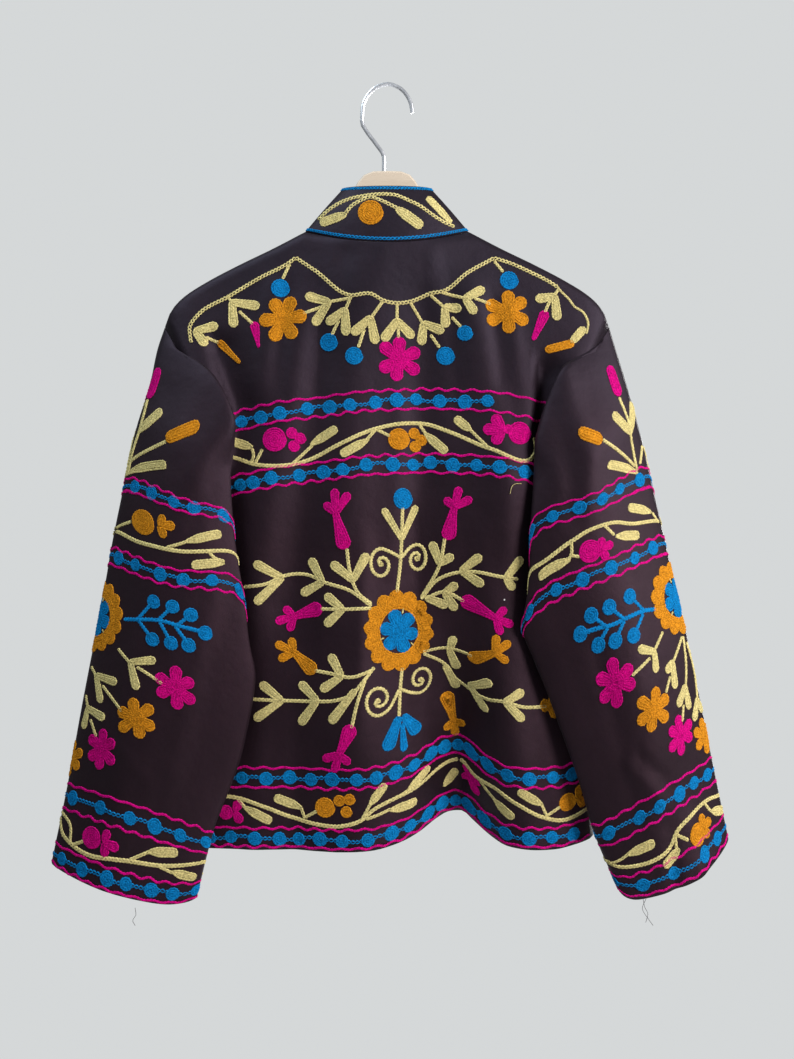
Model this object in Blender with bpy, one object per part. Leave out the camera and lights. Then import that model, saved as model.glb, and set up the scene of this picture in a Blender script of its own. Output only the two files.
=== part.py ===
"""Short jacket with a stand collar, hanging on a wooden hanger, its back towards -Y.

The origin is the inside top of the hanger's hook. Sizes are in millimetres and are turned into
metres where a mesh is made. Each piece of cloth is a wall: a grid of points on its outer side,
and the same grid moved in by the cloth's thickness. A depth is a distance down from the origin,
so it is -Z. Left and right are as seen from behind, -X and +X.
"""

import math

import bmesh
import bpy
import numpy as np
from mathutils import Vector

METRE = 0.001

# Cloth
CLOTH = 1.6
COLLAR_CLOTH = 2.4
SEAM_GAP = 0.3
ARMHOLE_GAP = 0.6
TIP_GAP = 1.4

# Body, measured across and down from the hook
NECK_HALF = 82
NECK_DEPTH = 147
BACK_NECK_DROP = 15
FRONT_NECK_DROP = 76
TIP_DEPTH = 241
TIP_HALF = 222
UNDERARM_DEPTH = 460
UNDERARM_HALF = 199
HEM_DEPTH = 757
HEM_HALF = 206
FRONT_GAP = 3
BAR_COVER = 9.2
SHOULDER_ROLL = 7
NECK_BULGE = 15
NECK_BULGE_WIDTH = 72
NECK_BULGE_FADE = 150
NECK_ROUNDING = 4
SIDE_ROUNDING = 8
BACK_NECK_SHAPE = 1
FRONT_NECK_SHAPE = 1.5
SHARPNESS = 2

# Collar
COLLAR_TOP_HALF = 43.5
COLLAR_TOP_DEPTH = 102.5
COLLAR_TOP_BACK = 17
COLLAR_TOP_FRONT = 27
COLLAR_FRONT_DROP = 70
COLLAR_SEAM_GAP = 0.5
COLLAR_BOW = 2.5

# Hanger
BAR_THICK = 11
BAR_LENGTH_HALF = 199
BAR_END_RADIUS = 9
BAR_ROUNDING = 1.8
HOLE_RADIUS = 2.4
HOLE_DEPTH = 16
WIRE_RADIUS = 2

# How finely the solids are made
ARM_ROWS = 11
SIDE_ROWS = 13
SLEEVE_ROWS = 20
TURN_SHARE = 0.4
NECK_COLUMNS = 7
SHOULDER_COLUMNS = [96, 112, 130, 148, 166, 183, 198, 209, 217, TIP_HALF]
WIRE_SIDES = 10
WIRE_POINTS = 36
COLLAR_ROWS = 5
SHARP_ANGLE = 40

# Top edge of the shoulder: distance from the middle, depth
SHOULDER = [
    (82, 147),
    (115, 164),
    (146, 179),
    (180, 197),
    (203, 212),
    (215, 225),
    (222, 241),
]

# How far each panel stands off the middle plane: depth, back, front
STAND_OFF = [
    (147, 0, 0),
    (200, 4, 4),
    (300, 10, 12),
    (450, 14, 18),
    (600, 14, 20),
    (757, 13, 18),
]

# Folds that run down the back: place across and depth at the upper and the lower end, half-width
# there, how far the fold's line stands towards the camera (+) or away (-) at each end, and the
# length over which the ends fade. A sharp fold has a narrow bottom and wide sides.
BACK_FOLDS = [
    {"name": "hem_valley", "sharp": True, "top": (62, 560), "end": (74, 790),
     "wide": (34, 46), "out": (-10, -60), "fade": (90, 1)},
    {"name": "hem_ridge_left", "top": (-30, 560), "end": (-38, 790),
     "wide": (40, 52), "out": (3, 15), "fade": (90, 1)},
    {"name": "hem_ridge_right", "top": (140, 580), "end": (146, 790),
     "wide": (30, 34), "out": (3, 12), "fade": (80, 1)},
    {"name": "middle_ridge", "top": (6, 330), "end": (10, 600),
     "wide": (30, 34), "out": (6, 6), "fade": (60, 90)},
    {"name": "left_ridge", "top": (-78, 250), "end": (-96, 560),
     "wide": (18, 24), "out": (4, 5), "fade": (60, 80)},
    {"name": "left_trough", "top": (-42, 380), "end": (-30, 690),
     "wide": (16, 16), "out": (-4, -5), "fade": (70, 70)},
    {"name": "right_trough", "top": (88, 320), "end": (70, 600),
     "wide": (22, 26), "out": (-5, -6), "fade": (60, 60)},
    {"name": "armhole_left", "top": (-180, 290), "end": (-164, 560),
     "wide": (22, 26), "out": (-8, -9), "fade": (50, 90)},
    {"name": "armhole_right", "top": (180, 290), "end": (164, 560),
     "wide": (22, 26), "out": (-8, -9), "fade": (50, 90)},
]

# The same for the fronts, with + still towards the camera, so that a deep fold goes through both
FRONT_FOLDS = [
    {"name": "hem_valley", "sharp": True, "top": (62, 540), "end": (74, 790),
     "wide": (50, 62), "out": (-6, -34), "fade": (90, 1)},
    {"name": "left_fold", "top": (-84, 330), "end": (-96, 790),
     "wide": (22, 34), "out": (-3, -10), "fade": (90, 1)},
    {"name": "right_fold", "top": (120, 300), "end": (140, 600),
     "wide": (20, 26), "out": (-4, -5), "fade": (70, 90)},
    {"name": "left_dip", "top": (-130, 420), "end": (-150, 790),
     "wide": (20, 22), "out": (3, 6), "fade": (90, 1)},
]

# How far the hem valley pulls the hem up: place across, lift. It starts at one depth and is full
# at the other.
LIFT_ACROSS = [
    (-50, 0),
    (-15, 2),
    (11, 7),
    (33, 15),
    (50, 23),
    (63, 26),
    (76, 26),
    (88, 18),
    (103, 8),
    (120, 2),
    (165, 0),
    (185, 3),
    (206, 8),
]
LIFT_FROM = 520
LIFT_FULL = 680

# Sleeve sections, from the armhole to the cuff. Each is a closed curve through six points, going
# from the outer edge over the back, under the arm and back along the front. Place across is
# away from the middle, then place along Y (towards the camera is negative), then depth.
SECTION_PLACES = {"outer": 0, "back": 0.16, "roll": 0.31, "under": 0.5, "front_roll": 0.69, "front": 0.84}
LEFT_SLEEVE = [
    {"along": 0, "outer": (222, 0, 241), "back": (189, -12, 307), "roll": (188, -12, 380),
     "under": (199, 0, 460), "front_roll": (188, 12, 380), "front": (189, 12, 307)},
    {"along": 22, "outer": (229, -4, 265), "back": (170, -34, 303), "roll": (177, -22, 370),
     "under": (206, -4, 480), "front_roll": (184, 24, 388), "front": (188, 25, 318)},
    {"along": 57, "outer": (235, -8, 298), "back": (162, -44, 333), "roll": (154, -32, 386),
     "under": (207, -15, 512), "front_roll": (192, 26, 415), "front": (196, 30, 345)},
    {"along": 106, "outer": (249, -10, 345), "back": (187, -48, 372), "roll": (151, -37, 394),
     "under": (198, -25, 535), "front_roll": (213, 12, 475), "front": (232, 24, 390)},
    {"along": 155, "outer": (258, -12, 393), "back": (194, -50, 415), "roll": (149, -38, 435),
     "under": (180, -29, 553), "front_roll": (214, -4, 520), "front": (250, 16, 435)},
    {"along": 223, "outer": (271, -12, 455), "back": (205, -52, 480), "roll": (145, -42, 495),
     "under": (146, -34, 551), "front_roll": (198, -20, 530), "front": (250, 6, 490)},
    {"along": 307, "outer": (287, -12, 540), "back": (224, -54, 554), "roll": (165, -48, 573),
     "under": (127, -34, 588), "front_roll": (172, -21, 574), "front": (236, -2, 558)},
    {"along": 387, "outer": (302, -12, 618), "back": (239, -52, 628), "roll": (179, -46, 646),
     "under": (140, -34, 660), "front_roll": (183, -21, 648), "front": (250, -4, 630)},
    {"along": 466, "outer": (316, -12, 695), "back": (258, -48, 703), "roll": (203, -44, 723),
     "under": (169, -32, 739), "front_roll": (206, -18, 727), "front": (267, -2, 707)},
    {"along": 547, "outer": (332, -12, 773), "back": (276, -46, 790), "roll": (219, -42, 805),
     "under": (185, -30, 801), "front_roll": (222, -14, 790), "front": (280, -2, 780)},
]
RIGHT_SLEEVE = [
    {"along": 0, "outer": (222, 0, 241), "back": (189, -12, 307), "roll": (188, -12, 380),
     "under": (199, 0, 460), "front_roll": (188, 12, 380), "front": (189, 12, 307)},
    {"along": 22, "outer": (227, -4, 261), "back": (168, -34, 303), "roll": (178, -22, 370),
     "under": (206, -4, 480), "front_roll": (184, 24, 388), "front": (188, 25, 318)},
    {"along": 57, "outer": (236, -8, 293), "back": (160, -44, 336), "roll": (148, -33, 390),
     "under": (207, -15, 512), "front_roll": (192, 26, 415), "front": (196, 30, 345)},
    {"along": 106, "outer": (249, -10, 340), "back": (189, -48, 370), "roll": (142, -38, 402),
     "under": (196, -25, 535), "front_roll": (213, 12, 475), "front": (232, 24, 388)},
    {"along": 155, "outer": (259, -12, 388), "back": (198, -50, 414), "roll": (140, -42, 440),
     "under": (172, -31, 550), "front_roll": (214, -4, 520), "front": (252, 16, 435)},
    {"along": 223, "outer": (274, -12, 452), "back": (211, -52, 475), "roll": (151, -48, 503),
     "under": (133, -35, 546), "front_roll": (194, -21, 534), "front": (254, 6, 488)},
    {"along": 307, "outer": (294, -12, 535), "back": (234, -54, 559), "roll": (178, -48, 588),
     "under": (155, -34, 601), "front_roll": (184, -21, 586), "front": (242, -2, 558)},
    {"along": 387, "outer": (311, -12, 616), "back": (257, -52, 638), "roll": (205, -46, 667),
     "under": (184, -34, 681), "front_roll": (210, -20, 666), "front": (262, -4, 640)},
    {"along": 454, "outer": (324, -12, 682), "back": (266, -48, 708), "roll": (221, -44, 735),
     "under": (203, -32, 742), "front_roll": (228, -16, 730), "front": (275, -2, 704)},
    {"along": 530, "outer": (338, -12, 749), "back": (298, -46, 781), "roll": (244, -44, 800),
     "under": (224, -32, 789), "front_roll": (250, -14, 783), "front": (300, -2, 770)},
]

# Upper edge of the wooden bar, from its middle to its end: distance from the middle, depth
BAR_TOP = [
    (0, 86),
    (14, 86.5),
    (23, 90),
    (29, 97),
    (35, 109),
    (44, 124),
    (58, 141),
    (76, 154),
    (120, 174),
    (160, 194),
    (190, 212),
]
# Lower edge, from its end to its middle
BAR_BOTTOM = [(190, 231), (160, 217), (120, 198), (85, 182), (44, 162), (0, 150)]

# Middle of the hook's wire, from the hole in the bar to the open end: across, depth
WIRE = [
    (-3, 98),
    (-3, 72),
    (-11, 58),
    (-20, 46),
    (-25, 36),
    (-24, 20),
    (-19, 9),
    (-10, 1),
    (1, -2),
    (11, 1),
    (19, 8),
    (24, 18),
    (25.5, 27),
]

CLOTH_COLOUR = (0.018, 0.009, 0.014)
WOOD_COLOUR = (0.62, 0.47, 0.30)
CHROME_COLOUR = (0.75, 0.76, 0.78)


def eased(step):
    """0 to 1 with soft ends."""
    step = np.clip(step, 0, 1)
    return step * step * (3 - 2 * step)


def bell(distance):
    return np.exp(-distance * distance)


def through(stations, values, at):
    """Smooth curve through the values at the stations, with no overshoot."""
    stations = np.asarray(stations, float)
    values = np.asarray(values, float)
    at = np.asarray(at, float)
    values = values.reshape(len(stations), -1)
    step = np.diff(stations)[:, None]
    rise = np.diff(values, axis=0) / step
    same_way = rise[1:] * rise[:-1] > 0
    total = np.where(same_way, rise[1:] + rise[:-1], 1)
    slope = np.empty_like(values)
    slope[1:-1] = np.where(same_way, 2 * rise[1:] * rise[:-1] / total, 0)
    slope[0] = rise[0]
    slope[-1] = rise[-1]
    flat = np.clip(at.ravel(), stations[0], stations[-1])
    k = np.clip(np.searchsorted(stations, flat, side="right") - 1, 0, len(step) - 1)
    h = step[k]
    t = ((flat - stations[k])[:, None]) / h
    found = (
        values[k] * (1 + 2 * t) * (1 - t) ** 2
        + slope[k] * h * t * (1 - t) ** 2
        + values[k + 1] * t * t * (3 - 2 * t)
        + slope[k + 1] * h * t * t * (t - 1)
    )
    return found.reshape(at.shape + (-1,)) if values.shape[1] > 1 else found.reshape(at.shape)


def round_curve(controls, places, at):
    """Closed smooth curve through the controls, which lie at these places from 0 to 1."""
    places = np.asarray(places, float)
    count = len(places)
    ahead = np.append(places[1:], 1.0) - places
    behind = np.roll(ahead, 1)
    leaving = (np.roll(controls, -1, axis=-2) - controls) / ahead[:, None]
    coming = np.roll(leaving, 1, axis=-2)
    slope = (leaving * behind[:, None] + coming * ahead[:, None]) / (ahead + behind)[:, None]
    at = np.asarray(at, float) % 1.0
    k = np.clip(np.searchsorted(places, at, side="right") - 1, 0, count - 1)
    after = (k + 1) % count
    h = ahead[k][:, None]
    t = ((at - places[k])[:, None]) / h
    return (
        controls[..., k, :] * (1 + 2 * t) * (1 - t) ** 2
        + slope[..., k, :] * h * t * (1 - t) ** 2
        + controls[..., after, :] * t * t * (3 - 2 * t)
        + slope[..., after, :] * h * t * t * (t - 1)
    )


def sleeve_points(rows, side, along, around):
    """Points of a sleeve, for lengths along it and places round it; side is -1 or 1."""
    stations = [row["along"] for row in rows]
    flat = [[c for place in SECTION_PLACES for c in row[place]] for row in rows]
    controls = through(stations, flat, along).reshape(len(along), len(SECTION_PLACES), 3)
    points = round_curve(controls, list(SECTION_PLACES.values()), around)
    return points * np.array([side, 1, -1])


def armhole():
    """Edge of the body's armhole on the back, from the shoulder's tip to the underarm, as
    (distance from the middle, place along Y, depth) for ARM_ROWS steps round the sleeve."""
    around = np.linspace(0, 0.5, ARM_ROWS + 1)
    points = sleeve_points(LEFT_SLEEVE, 1, np.array([0.0]), around)[0]
    return points * np.array([1, 1, -1])


def half_width(depth):
    """Half the body's width at a depth on its side."""
    edge = armhole()
    below = through(
        [UNDERARM_DEPTH, 560, 660, HEM_DEPTH],
        [UNDERARM_HALF, 197, 200, HEM_HALF],
        depth,
    )
    above = np.interp(depth, edge[:, 2], edge[:, 0])
    return np.where(depth < UNDERARM_DEPTH, above, below)


def side_hold(depth):
    """How much of the panel's stand-off is left at its side: some at the armhole, then none."""
    edge = armhole()
    return np.interp(depth, np.append(edge[:, 2], HEM_DEPTH), np.append(-edge[:, 1], 0))


def top_edge(across, neck_drop, power):
    """Depth of the panel's top edge: the neck, then the shoulder."""
    across = np.abs(across)
    inside = np.clip(1 - (across / NECK_HALF) ** 2, 0, 1) ** power
    shoulder = through([row[0] for row in SHOULDER], [row[1] for row in SHOULDER], across)
    return np.where(across < NECK_HALF, NECK_DEPTH + neck_drop * inside, shoulder)


def back_top(across):
    return top_edge(across, BACK_NECK_DROP, BACK_NECK_SHAPE)


def front_top(across):
    return top_edge(across, FRONT_NECK_DROP, FRONT_NECK_SHAPE)


def fold_depth(folds, across, depth):
    """Sum of the folds at a place, + towards the camera."""
    total = np.zeros_like(across)
    for fold in folds:
        down = (depth - fold["top"][1]) / (fold["end"][1] - fold["top"][1])
        inside = np.clip(down, 0, 1)
        middle = fold["top"][0] + (fold["end"][0] - fold["top"][0]) * inside
        wide = fold["wide"][0] + (fold["wide"][1] - fold["wide"][0]) * inside
        out = fold["out"][0] + (fold["out"][1] - fold["out"][0]) * inside
        starts = eased((depth - fold["top"][1] + fold["fade"][0]) / fold["fade"][0])
        ends = eased((fold["end"][1] + fold["fade"][1] - depth) / fold["fade"][1])
        away = np.abs(across - middle) / wide
        crease = (1 + away**2) ** -SHARPNESS if fold.get("sharp") else bell(away)
        total += out * crease * starts * ends
    return total


def lift(across, depth):
    """How far the cloth is pulled up beside the hem valley."""
    places = [row[0] for row in LIFT_ACROSS]
    amount = through(places, [row[1] for row in LIFT_ACROSS], across)
    return amount * eased((depth - LIFT_FROM) / (LIFT_FULL - LIFT_FROM))


def panel_points(across, depth, side_depth, top, column, folds, facing):
    """Points of the back (facing -1) or a front (facing 1) at these places on the flat cloth."""
    below = np.maximum(depth - top(across), 0)
    roll = np.sqrt(np.clip(1 - (1 - np.clip(below / SHOULDER_ROLL, 0, 1)) ** 2, 0, 1))
    inside = np.clip(np.abs(across) / NECK_HALF, 0, 1)
    edge = np.sqrt(np.clip(1 - (1 - roll**2) * inside**NECK_ROUNDING, 0, 1))
    depths = [row[0] for row in STAND_OFF]
    stand = BAR_COVER + through(depths, [row[column] for row in STAND_OFF], depth)
    bulge_left = 1 - eased((depth - NECK_DEPTH) / NECK_BULGE_FADE)
    stand += NECK_BULGE * bell(across / NECK_BULGE_WIDTH) * bulge_left
    share = np.clip(np.abs(across) / half_width(side_depth), 0, 1)
    held = side_hold(side_depth)
    fullness = stand * edge - facing * fold_depth(folds, across, depth) * edge
    sideways = np.sqrt(np.clip(1 - share**SIDE_ROUNDING, 0, 1))
    y = facing * (fullness * sideways + held * (1 - sideways))
    y = np.where(below <= 0, np.where(np.abs(across) >= NECK_HALF, 0, y), y)
    z = -(depth - lift(across, depth))
    return np.stack([across, y + facing * SEAM_GAP / 2, z], axis=-1)


def side_depths():
    """Depths of the rows at the panel's side: down the armhole, then down the side seam."""
    below = UNDERARM_DEPTH + (HEM_DEPTH - UNDERARM_DEPTH) * np.arange(1, SIDE_ROWS + 1) / SIDE_ROWS
    return np.concatenate([armhole()[:, 2], below])


def panel_grid(shares, top, column, folds, facing):
    """Rows and columns of a panel; a share is the part of the half-width, -1 to 1."""
    rows = side_depths()
    down = (rows - TIP_DEPTH) / (HEM_DEPTH - TIP_DEPTH)
    side = np.repeat(rows[:, None], len(shares), axis=1)
    across = shares[None, :] * half_width(rows)[:, None]
    start = top(shares * TIP_HALF)[None, :]
    depth = start + (HEM_DEPTH - start) * down[:, None]
    return panel_points(across, depth, side, top, column, folds, facing)


def grid_normals(points, closed):
    """Unit normals of a grid, from its neighbours; closed where the columns run round a tube."""
    down = np.gradient(points, axis=0)
    if closed:
        round_way = np.roll(points, -1, axis=1) - np.roll(points, 1, axis=1)
    else:
        round_way = np.gradient(points, axis=1)
    normals = np.cross(down, round_way)
    return normals / np.maximum(np.linalg.norm(normals, axis=-1, keepdims=True), 1e-9)


def make_object(name, vertices, faces, material):
    mesh = bpy.data.meshes.new(name)
    mesh.from_pydata((np.asarray(vertices) * METRE).tolist(), [], faces)
    work = bmesh.new()
    work.from_mesh(mesh)
    bmesh.ops.recalc_face_normals(work, faces=work.faces[:])
    work.to_mesh(mesh)
    work.free()
    mesh.shade_smooth()
    mesh.set_sharp_from_angle(angle=math.radians(SHARP_ANGLE))
    made = bpy.data.objects.new(name, mesh)
    made.data.materials.append(material)
    bpy.context.scene.collection.objects.link(made)
    return made


def wall(name, outer, inner, closed, material):
    """Closed wall between two grids of points, its free edges filled."""
    rows, columns = outer.shape[:2]
    wraps = columns if closed else columns - 1
    size = rows * columns

    def at(layer, row, column):
        return layer * size + row * columns + column % columns

    faces = []
    for row in range(rows - 1):
        for column in range(wraps):
            corners = [(row, column), (row + 1, column), (row + 1, column + 1), (row, column + 1)]
            faces.append([at(0, *corner) for corner in corners])
            faces.append([at(1, *corner) for corner in reversed(corners)])
    edges = [((row, column), (row, column + 1)) for row in (0, rows - 1) for column in range(wraps)]
    if not closed:
        edges += [
            ((row, column), (row + 1, column)) for column in (0, columns - 1) for row in range(rows - 1)
        ]
    for start, end in edges:
        faces.append([at(0, *start), at(0, *end), at(1, *end), at(1, *start)])
    vertices = np.concatenate([outer.reshape(-1, 3), inner.reshape(-1, 3)])
    return make_object(name, vertices, faces, material)


def neck_shares(count):
    """Shares of the half-width from the middle to the neck's corner, closer near the corner."""
    return np.sin(np.linspace(0, math.pi / 2, count + 1)) * NECK_HALF / TIP_HALF


def shoulder_shares():
    return np.array(SHOULDER_COLUMNS) / TIP_HALF


def panel_shares(side, mirrored):
    """Shares of the half-width from one armhole to the other, or from the front's edge outwards."""
    half = np.concatenate([neck_shares(NECK_COLUMNS), shoulder_shares()])
    if mirrored:
        return np.concatenate([-half[:0:-1], half])
    return side * np.concatenate([[FRONT_GAP / 2 / TIP_HALF], half[1:]])


def body_panel(shares, top, column, folds, facing):
    """Outer points of a panel and the directions in which its wall's inner side lies."""
    outer = panel_grid(shares, top, column, folds, facing)
    normals = grid_normals(outer, False)
    if np.mean(normals[..., 1]) * facing < 0:
        normals = -normals
    for index in (0, -1):
        if abs(shares[index]) > 1 - 1e-6:
            normals[ARM_ROWS:, index, 1] = 0
    shoulder = np.abs(shares) >= NECK_HALF / TIP_HALF - 1e-6
    normals[0, shoulder, 1] = 0
    normals[0, ~shoulder, 2] = np.maximum(normals[0, ~shoulder, 2], 0)
    return {"outer": outer, "normals": normals}


def sleeve_tube(side, rows):
    """Outer points of a sleeve and the directions in which its wall's inner side lies."""
    length = rows[-1]["along"]
    first = rows[1]["along"]
    stations = [0, TURN_SHARE * first] + list(first + (length - first) * np.linspace(0, 1, SLEEVE_ROWS))
    around = np.linspace(0, 1, 2 * ARM_ROWS + 1)[:-1]
    outer = sleeve_points(rows, side, np.array(stations, float), around)
    normals = grid_normals(outer, True)
    middle = outer.mean(axis=1, keepdims=True)
    if np.mean(np.sum((outer - middle) * normals, axis=-1)[4:]) < 0:
        normals = -normals
    return {"outer": outer, "normals": normals}


def share_seam(sleeve, column, back, front):
    """Give the armhole's two sides one direction at each point, so that their edges face each
    other, and set the sleeve's edge off by the gap, square to that direction."""
    seam = [(back, row, row) for row in range(ARM_ROWS + 1)]
    seam += [(front, row, (2 * ARM_ROWS - row) % (2 * ARM_ROWS)) for row in range(ARM_ROWS + 1)]
    inwards = 1 if column == 0 else -1
    ring = sleeve["outer"][0].copy()
    along = np.roll(ring, -1, axis=0) - np.roll(ring, 1, axis=0)
    towards = sleeve["normals"][0].copy()
    for piece, row, around in seam:
        both = piece["normals"][row, column] + towards[around]
        if row in (0, ARM_ROWS):
            both[1] = 0
        both /= np.linalg.norm(both)
        piece["normals"][row, column] = both
        sleeve["normals"][0, around] = both
        off = np.cross(along[around], both)
        off /= np.linalg.norm(off)
        edge = piece["outer"][row, column]
        off *= -np.sign(np.dot(off, piece["outer"][row, column + inwards] - edge))
        start = ring[around] if row in (0, ARM_ROWS) else edge
        sleeve["outer"][0, around] = start + off * (TIP_GAP if row == 0 else ARMHOLE_GAP)


def wall_from(name, piece, thickness, closed, material):
    normals = piece["normals"]
    length = np.linalg.norm(normals, axis=-1, keepdims=True)
    inner = piece["outer"] - normals / np.maximum(length, 1e-9) * thickness
    return wall(name, piece["outer"], inner, closed, material)


def make_body(material):
    """Back, two fronts and two sleeves, which meet along the armholes."""
    back = body_panel(panel_shares(1, True), back_top, 1, BACK_FOLDS, -1)
    for side, rows, word in ((-1, LEFT_SLEEVE, "left"), (1, RIGHT_SLEEVE, "right")):
        front = body_panel(panel_shares(side, False), front_top, 2, FRONT_FOLDS, 1)
        sleeve = sleeve_tube(side, rows)
        edge = {"outer": front["outer"][:, ::side], "normals": front["normals"][:, ::side]}
        share_seam(sleeve, 0 if side < 0 else -1, back, edge)
        wall_from("front_" + word, front, CLOTH, False, material)
        wall_from("sleeve_" + word, sleeve, CLOTH, True, material)
    wall_from("back", back, CLOTH, False, material)


def make_collar(material):
    """Stand collar from the neck's seam to its top edge, open at the middle of the front."""
    quarter = np.arcsin(np.clip(neck_shares(NECK_COLUMNS) * TIP_HALF / NECK_HALF, 0, 1))
    last = math.pi - math.asin(FRONT_GAP / 2 / NECK_HALF)
    half = np.concatenate([quarter, math.pi - quarter[-2:0:-1], [last]])
    angles = np.concatenate([-half[:0:-1], half])
    across = NECK_HALF * np.sin(angles)
    is_back = np.cos(angles) >= -1e-6
    lower_depth = np.where(is_back, back_top(across), front_top(across))
    sides = np.full_like(across, TIP_DEPTH)
    on_back = panel_points(across, lower_depth, sides, back_top, 1, BACK_FOLDS, -1)
    on_front = panel_points(across, lower_depth, sides, front_top, 2, FRONT_FOLDS, 1)
    lower = np.where(is_back[:, None], on_back, on_front)
    turned = np.cos(angles)
    upper = np.stack(
        [
            COLLAR_TOP_HALF * np.sin(angles),
            np.where(is_back, -COLLAR_TOP_BACK, -COLLAR_TOP_FRONT) * turned,
            -(COLLAR_TOP_DEPTH + np.where(is_back, 2 * turned, COLLAR_FRONT_DROP * turned**2)),
        ],
        axis=-1,
    )
    lower[:, 2] += COLLAR_SEAM_GAP
    steps = np.linspace(0, 1, COLLAR_ROWS)[:, None, None]
    outer = lower[None] + (upper - lower)[None] * steps
    outer[..., 1] += np.sign(outer[..., 1]) * COLLAR_BOW * np.sin(math.pi * steps[..., 0])
    normals = grid_normals(outer, False)
    if np.mean(np.sum(normals[:, :, :2] * outer[:, :, :2], axis=-1)) < 0:
        normals = -normals
    normals[0, :, 2] = 0
    return wall_from("collar", {"outer": outer, "normals": normals}, COLLAR_CLOTH, False, material)


def bar_outline():
    """Outline of the wooden bar in the XZ plane, one way round."""
    top = [(x, -z) for x, z in BAR_TOP]
    end_x = BAR_LENGTH_HALF - BAR_END_RADIUS
    end_z = -0.5 * (BAR_TOP[-1][1] + BAR_BOTTOM[0][1])
    rise = 0.5 * (BAR_BOTTOM[0][1] - BAR_TOP[-1][1])
    angles = np.radians([55, 25, 0, -25, -55])
    end = [(end_x + BAR_END_RADIUS * math.cos(a), end_z + rise * math.sin(a)) for a in angles]
    right = top[1:] + end + [(x, -z) for x, z in BAR_BOTTOM]
    left = [(-x, z) for x, z in reversed(right[:-1])]
    return [top[0]] + right + left


def make_bar(material):
    outline = bar_outline()
    count = len(outline)
    half = BAR_THICK / 2
    vertices = [(x, -half, z) for x, z in outline] + [(x, half, z) for x, z in outline]
    faces = [list(range(count)), list(range(count, 2 * count))]
    faces += [[i, (i + 1) % count, count + (i + 1) % count, count + i] for i in range(count)]
    bar = make_object("hanger_bar", vertices, faces, material)
    soft = bar.modifiers.new("rounded", "BEVEL")
    soft.width = BAR_ROUNDING * METRE
    soft.segments = 2
    soft.limit_method = "ANGLE"
    soft.angle_limit = math.radians(60)
    cutter = hole_cutter()
    hole = bar.modifiers.new("hook_hole", "BOOLEAN")
    hole.object = cutter
    hole.operation = "DIFFERENCE"
    return bar


def hole_cutter():
    """Cylinder for the hole that the hook screws into."""
    mesh = bpy.data.meshes.new("hook_hole_cutter")
    work = bmesh.new()
    bmesh.ops.create_cone(
        work,
        cap_ends=True,
        segments=16,
        radius1=HOLE_RADIUS * METRE,
        radius2=HOLE_RADIUS * METRE,
        depth=2 * HOLE_DEPTH * METRE,
    )
    work.to_mesh(mesh)
    work.free()
    cutter = bpy.data.objects.new("hook_hole_cutter", mesh)
    cutter.location = Vector((WIRE[0][0], 0, -BAR_TOP[0][1])) * METRE
    cutter.hide_render = True
    cutter.display_type = "WIRE"
    bpy.context.scene.collection.objects.link(cutter)
    return cutter


def make_hook(material):
    """Wire of the hook as a tube along a smooth curve, with a round end."""
    route = np.array([(x, 0, -z) for x, z in WIRE], float)
    lengths = np.append(0, np.cumsum(np.linalg.norm(np.diff(route, axis=0), axis=1)))
    at = np.linspace(0, lengths[-1], WIRE_POINTS)
    path = through(lengths, route, at)
    heading = np.gradient(path, axis=0)
    heading /= np.linalg.norm(heading, axis=1, keepdims=True)
    sideways = np.array([0.0, 1.0, 0.0])
    turns = 2 * math.pi * np.arange(WIRE_SIDES) / WIRE_SIDES
    vertices = []
    for point, ahead in zip(path, heading):
        across = np.cross(ahead, sideways)
        vertices += [point + WIRE_RADIUS * (math.cos(a) * across + math.sin(a) * sideways) for a in turns]
    faces = []
    for ring in range(WIRE_POINTS - 1):
        for i in range(WIRE_SIDES):
            j = (i + 1) % WIRE_SIDES
            here, there = ring * WIRE_SIDES, (ring + 1) * WIRE_SIDES
            faces.append([here + i, here + j, there + j, there + i])
    faces.append(list(range(WIRE_SIDES)))
    faces.append(list(range((WIRE_POINTS - 1) * WIRE_SIDES, WIRE_POINTS * WIRE_SIDES)))
    return make_object("hanger_hook", vertices, faces, material)


def material(name, colour, roughness, metallic):
    made = bpy.data.materials.new(name)
    made.use_nodes = True
    shader = made.node_tree.nodes["Principled BSDF"]
    shader.inputs["Base Color"].default_value = (*colour, 1)
    shader.inputs["Roughness"].default_value = roughness
    shader.inputs["Metallic"].default_value = metallic
    return made


def main():
    for old in list(bpy.data.objects):
        bpy.data.objects.remove(old)
    cloth = material("cotton", CLOTH_COLOUR, 0.85, 0)
    make_body(cloth)
    make_collar(cloth)
    make_bar(material("wood", WOOD_COLOUR, 0.5, 0))
    make_hook(material("chrome", CHROME_COLOUR, 0.15, 1))


main()
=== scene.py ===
"""Looks of a short embroidered jacket on a wooden hanger, its back towards the camera.

Sizes are in millimetres, and depths are down from the inside top of the hook. The cloth is made
as the solids are, with the back's folds nearer to the photo's, the sleeves' upper edges lapped
over the back and finer creases added. A place on the cloth is (across, depth) on a panel and
(round, along) on a sleeve, where round is measured from the line over the arm towards the back.
The embroidery is rows of chain stitch, laid on the cloth.
"""

import math
from collections import namedtuple

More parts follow.
